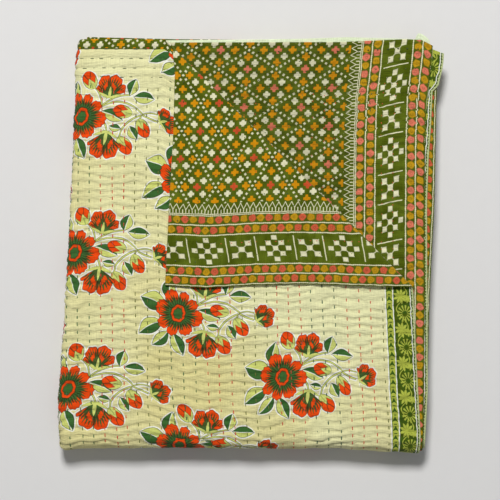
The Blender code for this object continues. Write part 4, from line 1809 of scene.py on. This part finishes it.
    def border(self, canvas: Canvas, place: Wire, colour: Wire) -> Wire:
        """Lays the border of both long hems over the print."""
        u, v = canvas.split(place)
        hem = u.least(u.scaled(-1.0, self.woven_width))
        wobble = canvas.noise(place, (0.05, 0.09), 1.0, 5.0)
        hem = (hem + wobble.scaled(1.6, -0.8)) * 1.12
        band = canvas.over(Ink.BAND, Ink.FIELD, canvas.noise(place, (0.2, 0.2), 2.0).above(0.5, 0.5))
        dx, dy = hem - 12.5, (v - 8.0).wrapped(41.5)
        daisy = canvas.reach(dx, dy)
        angle = dy.math("ARCTAN2", dx)
        petal = angle.spikes(2.07).above(0.52, 0.3) * daisy.above(3.4, 0.8) * daisy.below(10.6, 0.8)
        sx, sy = hem - 18.0, (v - 28.0).wrapped(41.5)
        spray = canvas.reach(sx, sy)
        turn = sy.math("ARCTAN2", sx)
        bloom = (turn.spikes(1.43).scaled(5.0, 5.2) - spray).above(0.0, 0.8)
        vein = turn.spikes(1.43, 0.5).above(0.86, 0.2) * spray.above(2.0, 1.0)
        tx, ty = hem - 8.0, (v - 31.0).wrapped(41.5)
        leafy = (ty.math("ARCTAN2", tx).spikes(1.1).scaled(3.2, 2.6) - canvas.reach(tx, ty)).above(0.0, 0.8)
        winding = (v * (2 * math.pi / 41.5) + 1.2).math("SINE").scaled(7.6, 16.2)
        stem = abs(hem - winding).below(0.7, 0.4)
        mask = petal.most(bloom * (vein.scaled(-0.75, 1.0))).most(leafy).most(stem)
        band = canvas.over(band, Ink.BAND_LIGHT, mask)
        scallop = abs(v.wrapped(11.5)) * 0.12
        band = canvas.over(band, Ink.WHITE, abs(hem - 3.5 - scallop).below(0.6, 0.5))
        band = canvas.over(band, Ink.EDGE, (hem + v.spikes(0.26) * 1.4).below(2.3, 0.4))
        band = canvas.over(band, Ink.WHITE, abs(hem - 28.3).below(0.75, 0.4))
        arrow = v.wrapped(11.5)
        head = (arrow + 4.0) * 0.62 - abs(hem - 33.4)
        head = head.least(arrow.scaled(-2.0, 2.6) + abs(hem - 33.4) * 0.8).above(0.0, 0.5)
        dash = abs((v + 5.75).wrapped(11.5)).below(0.6, 0.4) * abs(hem - 33.4).below(2.0, 0.5)
        strip = canvas.over(Ink.BAND_LIGHT, Ink.BAND, head.most(dash).most(abs(hem - 37.3).below(0.35, 0.4)))
        strip = canvas.over(strip, Ink.WHITE, hem.above(37.9, 0.4))
        colour = canvas.over(colour, strip, hem.below(39.4, 0.5))
        return canvas.over(colour, band, hem.below(29.0, 0.4))


@dataclass(frozen=True)
class BackPrint:
    """The back cloth's print: a lattice of small crosses, and a border of dots and checks on both long hems.

    Attributes:
        woven_width: the cloth's width from hem to hem.
        period: distance between two red crosses of a row, down the cloth.
        row: distance between two rows of them, in from the hem.
        first: a red cross near the right hem: in from that hem, and down from the far hem.
        second: another near the left hem, where the cloth lies a little stretched.
        stretch: how much wider and longer the lattice is there.
        dot_rows: each dot row's distance in from the hem, and where its first dot lies along it.
        rules: each cream line's distance in from the hem, and its half width.
    """

    woven_width: float
    period: float = 46.0
    row: float = 35.0
    first: tuple[float, float] = (124.0, -13.5)
    second: tuple[float, float] = (1570.3, 8.6)
    stretch: tuple[float, float] = (1.034, 1.043)
    dot_rows: Table = ((8.7, 2.0), (20.7, 7.0), (72.0, 3.5), (85.0, 9.0))
    rules: Table = (
        (2.6, 0.5), (14.8, 0.65), (27.0, 0.65), (65.7, 0.65), (78.3, 0.65), (90.2, 0.5), (92.2, 0.5)
    )

    def build(self) -> NodeTree:
        """Makes the print as a node group: a place on the cloth in millimetres in, its colour out."""
        canvas, given = shader_group("back_print", {"Place": tuple}, {"Colour": Colour})
        place = given["Place"]
        u, v = canvas.split(place)
        smudge = canvas.noise(place, (0.09, 0.09), 2.0, 7.0)
        u = u + smudge.scaled(1.6, -0.8)
        v = v + smudge.scaled(-1.6, 0.8)
        hem = (u + 1.6).least(u.scaled(-1.0, self.woven_width + 3.5))
        worn = canvas.noise(place, (0.05, 0.05), 3.0, 9.0).above(0.55, 0.4)
        ground = canvas.over(Ink.FIELD, Ink.FIELD_WORN, worn)
        faded = u.above(self.woven_width / 2, 10.0)
        rust = canvas.over(Ink.RUST, Ink.CORAL, faded)
        colour = self.field(canvas, u, v, ground, rust)
        colour = self.border(canvas, u, v, hem, ground, rust, colour)
        wear = faded * hem.above(100.0, 20.0) * 0.22
        return finish_group(canvas, Colour=canvas.over(colour, Ink.LINE, wear))

    def cross(self, a: Wire, b: Wire, at: tuple[float, float], reach: float) -> Wire:
        """A small cross with a stout middle."""
        da, db = abs(a - at[0]), abs(b - at[1])
        far, near = da.most(db), da.least(db)
        return near.below(1.65, 0.6).most((far + near).below(4.3, 0.6)) * far.below(reach, 0.6)

    def field(self, canvas: Canvas, u: Wire, v: Wire, ground: Wire, rust: Wire) -> Wire:
        """The lattice of crosses and small squares."""
        left = u.above(self.woven_width / 2, 10.0)
        places = [
            canvas.blend(place - one, (place - two) / stretch, left)
            for place, one, two, stretch in zip((u, v), self.first, self.second, self.stretch)
        ]
        line = (places[0] / self.row).math("ROUND")
        b = abs(places[0] - line * self.row)
        a = abs((places[1] - line.math("PINGPONG", 1.0) * (self.period / 2)).wrapped(self.period))
        colour = canvas.over(ground, Ink.CREAM, self.cross(a, b, (7.5, 8.5), 4.1))
        slope = math.hypot(self.period / 2, self.row)
        along = (b * (self.row / slope)) - (a - self.period / 2) * (self.period / 2 / slope)
        aside = abs((a - self.period / 2) * (self.row / slope) + b * (self.period / 2 / slope))
        beat = along.wrapped(slope / 7)
        square = abs(beat).most(aside).below(1.3, 0.6)
        colour = canvas.over(colour, Ink.CREAM, square)
        half = self.row / 2
        gold = self.cross(a, b, (15.0, 0.0), 4.7).most(self.cross(a, b, (0.0, half), 4.7))
        gold = gold.most(self.cross(a, b, (self.period / 2, half), 4.7))
        colour = canvas.over(colour, Ink.OCHRE, gold)
        return canvas.over(colour, rust, self.cross(a, b, (0.0, 0.0), 4.7))

    def dots(
        self, canvas: Canvas, v: Wire, hem: Wire, row: tuple[float, float], colour: Wire, rust: Wire
    ) -> Wire:
        """A row of ringed dots along the hem, ochre and rust in turn.

        Args:
            canvas: the nodes to draw in.
            v: distance down from the far hem.
            hem: distance in from the nearer long hem.
            row: the row's distance in, and its first dot.
            colour: what is there.
            rust: the dye of every other dot.

        Returns:
            The colour with the dots.
        """
        middle, start = row
        count = (v - start) / 10.5
        odd = count.math("ROUND").math("PINGPONG", 1.0)
        off = canvas.reach((v - start).wrapped(10.5), hem - middle)
        off = off + (hem * 0.9).math("SINE") * ((v * 0.73).math("SINE") * 0.55)
        ink = canvas.over(Ink.DOT_OCHRE, canvas.over(rust, Ink.CORAL, odd * 0.3), odd.above(0.5, 0.1))
        ink = canvas.over(ink, Ink.LINE, abs(off - 1.5).below(0.35, 0.5) * 0.35)
        ink = canvas.over(ink, Ink.LINE, off.above(4.0, 0.5) * 0.35)
        return canvas.over(colour, ink, off.below(4.7, 0.5))

    def checks(self, canvas: Canvas, u: Wire, v: Wire, hem: Wire, colour: Wire) -> Wire:
        """The wide band: leaning bars, and between them an X and a diamond of squares in turn."""
        phase = u.above(self.woven_width / 2, 10.0).scaled(-33.1, -16.2)
        leaning = (v + u * 0.21 + phase).wrapped(85.0)
        across = hem - 46.4
        near_x = abs(leaning).below(18.25, 0.1)
        centre = canvas.blend((leaning.math("ADD", 42.5)).wrapped(85.0), leaning, near_x)
        step_a = canvas.blend(8.0, 9.0, near_x)
        step_b = canvas.blend(6.7, 7.5, near_x)
        i, j = centre / step_a, across / step_b
        ni, nj = i.math("ROUND"), j.math("ROUND")
        even = (ni + nj).math("PINGPONG", 1.0).below(0.5, 0.1)
        inside = abs(i - ni).most(abs(j - nj)).below(0.40, 0.14)
        diamond = (abs(ni) + abs(nj)).below(2.5, 0.1)
        five = abs(ni).most(abs(nj)).below(1.5, 0.1)
        squares = even * inside * canvas.blend(diamond, five, near_x)
        thread = abs(abs(i) - abs(j)).below(0.10, 0.08) * five
        bar = abs(abs(leaning) - 18.25).below(0.65, 0.5) * abs(across).below(15.5, 0.5)
        return canvas.over(colour, Ink.CREAM, squares.most(bar).most(thread * 0.7))

    def border(
        self, canvas: Canvas, u: Wire, v: Wire, hem: Wire, ground: Wire, rust: Wire, field_colour: Wire
    ) -> Wire:
        """The border: dot rows, lines, the wide band and a row of arches."""
        colour = ground
        for row in self.dot_rows:
            colour = self.dots(canvas, v, hem, row, colour, rust)
        colour = self.checks(canvas, u, v, hem, colour)
        for place, wide in self.rules:
            beads = v.spikes(0.42).scaled(0.35, -0.18)
            colour = canvas.over(colour, Ink.CREAM, (abs(hem - place) - beads * 0.8).below(wide, 0.4))
        tent = abs(v.wrapped(8.0))
        arch = (hem - 104.5) + tent * 1.9
        arches = abs(arch).below(0.95, 0.6) * hem.below(104.8, 0.5)
        fringe = abs(tent).below(0.55, 0.4) * hem.below(97.5, 0.5)
        legs = abs(tent - 4.0).below(0.5, 0.4) * hem.below(97.5, 0.5)
        tents = canvas.over(ground, Ink.CREAM, arches.most(fringe).most(legs))
        colour = canvas.over(colour, tents, hem.above(92.8, 0.4))
        return canvas.over(field_colour, colour, hem.below(105.5, 0.4))


@dataclass(frozen=True)
class Cotton:
    """The finish of both cloths: their print with the weave, crinkles and wear of washed cotton.

    Attributes:
        roughness: how matt the cloth is.
        sheen: how strongly its fuzz catches light.
        crinkle: how strongly fine wrinkles show.
        specular: how strongly it shines.
    """

    roughness: float = 0.88
    sheen: float = 0.12
    crinkle: float = 0.80
    specular: float = 0.06

    def surface(self) -> NodeTree:
        """The shared group: weave and slubs in a print's colour, and the normal of weave and crinkles."""
        takes, gives = {"Place": tuple, "Print": Colour}, {"Colour": Colour, "Normal": tuple}
        canvas, given = shader_group("washed_cotton", takes, gives)
        place = given["Place"]
        weft = canvas.noise(place, (0.05, 1.1), 2.0, 11.0)
        warp = canvas.noise(place, (1.1, 0.05), 2.0, 13.0)
        crinkles = canvas.noise(place, (0.12, 0.42), 4.0, 17.0)
        light = (weft + warp).scaled(0.36, 0.64)
        blotch = canvas.noise(place, (0.03, 0.03), 3.0, 19.0)
        light = light + blotch.scaled(0.16, -0.08)
        grey = canvas.tree.nodes.new("ShaderNodeVectorMath")
        grey.operation = "SCALE"
        canvas.feed(grey.inputs[0], given["Print"])
        canvas.feed(grey.inputs["Scale"], light)
        height = weft.scaled(0.12, warp * 0.10) + crinkles * 0.9
        bump = canvas.node("ShaderNodeBump", Height=height, Strength=self.crinkle, Distance=0.0016)
        shaded, normal = (Wire(canvas.tree, node.outputs[0]) for node in (grey, bump))
        return finish_group(canvas, Colour=shaded, Normal=normal)

    def material(self, name: str, print_group: NodeTree, surface: NodeTree) -> Material:
        """Makes the material of a printed cloth from its UV map, which is in metres over the cloth."""
        made, canvas, shader = start_material(name, self.roughness, self.specular)
        uv = made.node_tree.nodes.new("ShaderNodeUVMap")
        uv.uv_map = "cloth"
        scale = made.node_tree.nodes.new("ShaderNodeVectorMath")
        scale.operation = "SCALE"
        scale.inputs["Scale"].default_value = 1000.0
        made.node_tree.links.new(uv.outputs[0], scale.inputs[0])
        place = Wire(made.node_tree, scale.outputs[0])
        printed = canvas.use(print_group, Place=place)
        cloth = canvas.use(surface, Place=place, Print=printed["Colour"])
        canvas.feed(shader.inputs["Base Color"], cloth["Colour"])
        canvas.feed(shader.inputs["Normal"], cloth["Normal"])
        shader.inputs["Sheen Weight"].default_value = self.sheen
        shader.inputs["Sheen Roughness"].default_value = 0.45
        return made


@dataclass(frozen=True)
class Yarn:
    """The finish of a sewing thread.

    Attributes:
        colour: its dye.
        roughness: how matt it is.
    """

    colour: Colour
    roughness: float = 0.75

    def material(self, name: str) -> Material:
        """Makes the thread's material: its dye, uneven along the yarn, with a fine twist."""
        made, canvas, shader = start_material(name, self.roughness, 0.3)
        place = Wire(made.node_tree, canvas.node("ShaderNodeTexCoord").outputs["Object"])
        noise = canvas.node("ShaderNodeTexNoise", Vector=place, Scale=900.0, Detail=1.0)
        fade = Wire(made.node_tree, noise.outputs[0])
        paler = tuple(min(1.0, channel * 1.6 + 0.03) for channel in self.colour)
        canvas.feed(shader.inputs["Base Color"], canvas.over(self.colour, paler, fade.above(0.52, 0.3)))
        bump = canvas.node("ShaderNodeBump", Height=fade, Strength=0.5, Distance=0.0004)
        canvas.feed(shader.inputs["Normal"], Wire(made.node_tree, bump.outputs[0]))
        return made


YARNS = {
    Thread.OLIVE: Yarn(srgb("5F6427")),
    Thread.RED: Yarn(srgb("B63D29")),
    Thread.TEAL: Yarn(srgb("1B4A33")),
    Thread.GREEN: Yarn(srgb("2F5A30")),
    Thread.HEM: Yarn(srgb("3F4A26")),
}


@dataclass(frozen=True)
class PaleFloor:
    """The finish of the floor: matt and pale, a little uneven.

    Attributes:
        colour: its main colour.
        shade: the slightly darker colour of its faint mottling.
        lumps: how many lumps of the mottling there are in a metre.
    """

    colour: Colour = (0.740, 0.730, 0.715)
    shade: Colour = (0.722, 0.712, 0.697)
    lumps: float = 60.0

    def material(self) -> Material:
        """Makes the floor's material."""
        made, canvas, shader = start_material("pale_floor", 0.9, 0.2)
        place = Wire(made.node_tree, canvas.node("ShaderNodeTexCoord").outputs["Object"])
        noise = canvas.node("ShaderNodeTexNoise", Vector=place, Scale=self.lumps, Detail=3.0)
        mottled = canvas.over(self.colour, self.shade, Wire(made.node_tree, noise.outputs[0]))
        canvas.feed(shader.inputs["Base Color"], mottled)
        return made


@dataclass
class Studio:
    """The floor, the lights and the camera.

    Attributes:
        centre: the place on the floor that the camera looks straight down at.
        height: how high the camera stands over the stack's top.
        span: width of the square that it sees at the stack's top.
        top: height of the stack's top.
        floor_reach: how far the floor reaches on each side.
    """

    centre: tuple[float, float] = (-0.0009, -0.0084)
    height: float = 2.4
    span: float = 0.625
    top: float = 0.045
    floor_reach: float = 3.0

    def build_floor(self) -> None:
        """A large pale floor under the stack."""
        mesh = bpy.data.meshes.new("floor")
        far = self.floor_reach
        mesh.from_pydata([(-far, -far, 0), (far, -far, 0), (far, far, 0), (-far, far, 0)], [], [(0, 1, 2, 3)])
        mesh.materials.append(PaleFloor().material())
        add_object("floor", mesh)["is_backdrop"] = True

    def add_light(self, name: str, place: tuple[float, float, float], size: float, power: float) -> None:
        """An area light that faces the stack."""
        light = bpy.data.lights.new(name, "AREA")
        light.shape = "SQUARE"
        light.size = size
        light.energy = power
        holder = add_object(name, light)
        holder.location = place
        holder.rotation_euler = (-Vector(place)).to_track_quat("-Z", "Y").to_euler()

    def build(self) -> None:
        """Makes the floor, the lights and the camera."""
        self.build_floor()
        self.add_light("key", (-0.35, 2.15, 3.4), 0.9, 146.0)
        self.add_light("fill", (0.8, -1.0, 3.0), 2.4, 6.0)
        world = bpy.data.worlds.new("studio")
        world.use_nodes = True
        sky = world.node_tree.nodes["Background"].inputs
        sky["Color"].default_value = (0.95, 0.97, 1.0, 1)
        sky["Strength"].default_value = 0.18
        bpy.context.scene.world = world
        lens = bpy.data.cameras.new("camera")
        lens.sensor_width = 36
        lens.lens = 36 * self.height / self.span
        lens.clip_end = 20
        camera = add_object("camera", lens)
        camera.location = (*self.centre, self.height + self.top)
        bpy.context.scene.camera = camera
        bpy.context.scene.view_settings.view_transform = "Standard"


def main() -> None:
    """Builds the bedspread and its studio."""
    logging.basicConfig(level=logging.INFO, format="%(name)s: %(message)s")
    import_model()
    low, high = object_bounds()
    stack, stitches = FoldedStack(), StitchPlan()
    quilts = {side: QuiltCloth(side, stack, stitches) for side in Side}
    cloths = [quilt.build() for quilt in quilts.values()]
    cotton = Cotton()
    surface = cotton.surface()
    woven, length = 1000 * stack.woven_size(X), 1000 * stack.woven_size(Y)
    finishes = {
        "front_cloth": cotton.material("floral_cotton", FrontPrint(woven, length).build(), surface),
        "back_cloth": cotton.material("cross_lattice_cotton", BackPrint(woven).build(), surface),
    }
    LOG.info("the cloth measures %.0f by %.0f mm", woven, length)
    shift = Vector([(low[axis] + high[axis]) / 2 - stack.middle[axis] for axis in (X, Y)] + [0])
    yarns = {thread: yarn.material(f"{thread.value}_thread") for thread, yarn in YARNS.items()}
    threads = {side: Stitching(stitches, quilts).build(side, yarns) for side in Side}
    for made in threads[Side.FRONT] + threads[Side.BACK]:
        for vert in made.data.vertices:
            vert.co += shift
        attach(made, "root")
    for made, side in zip(cloths, Side):
        node = f"{side.value}_cloth"
        for vert in made.data.vertices:
            vert.co += shift
        made.data.materials.append(finishes[node])
        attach(made, "root")
        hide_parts(node)
        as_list(threads[side])
        LOG.info("%s: %d vertices, %d faces", made.name, len(made.data.vertices), len(made.data.polygons))
    Studio().build()


if __name__ == "__main__":
    main()
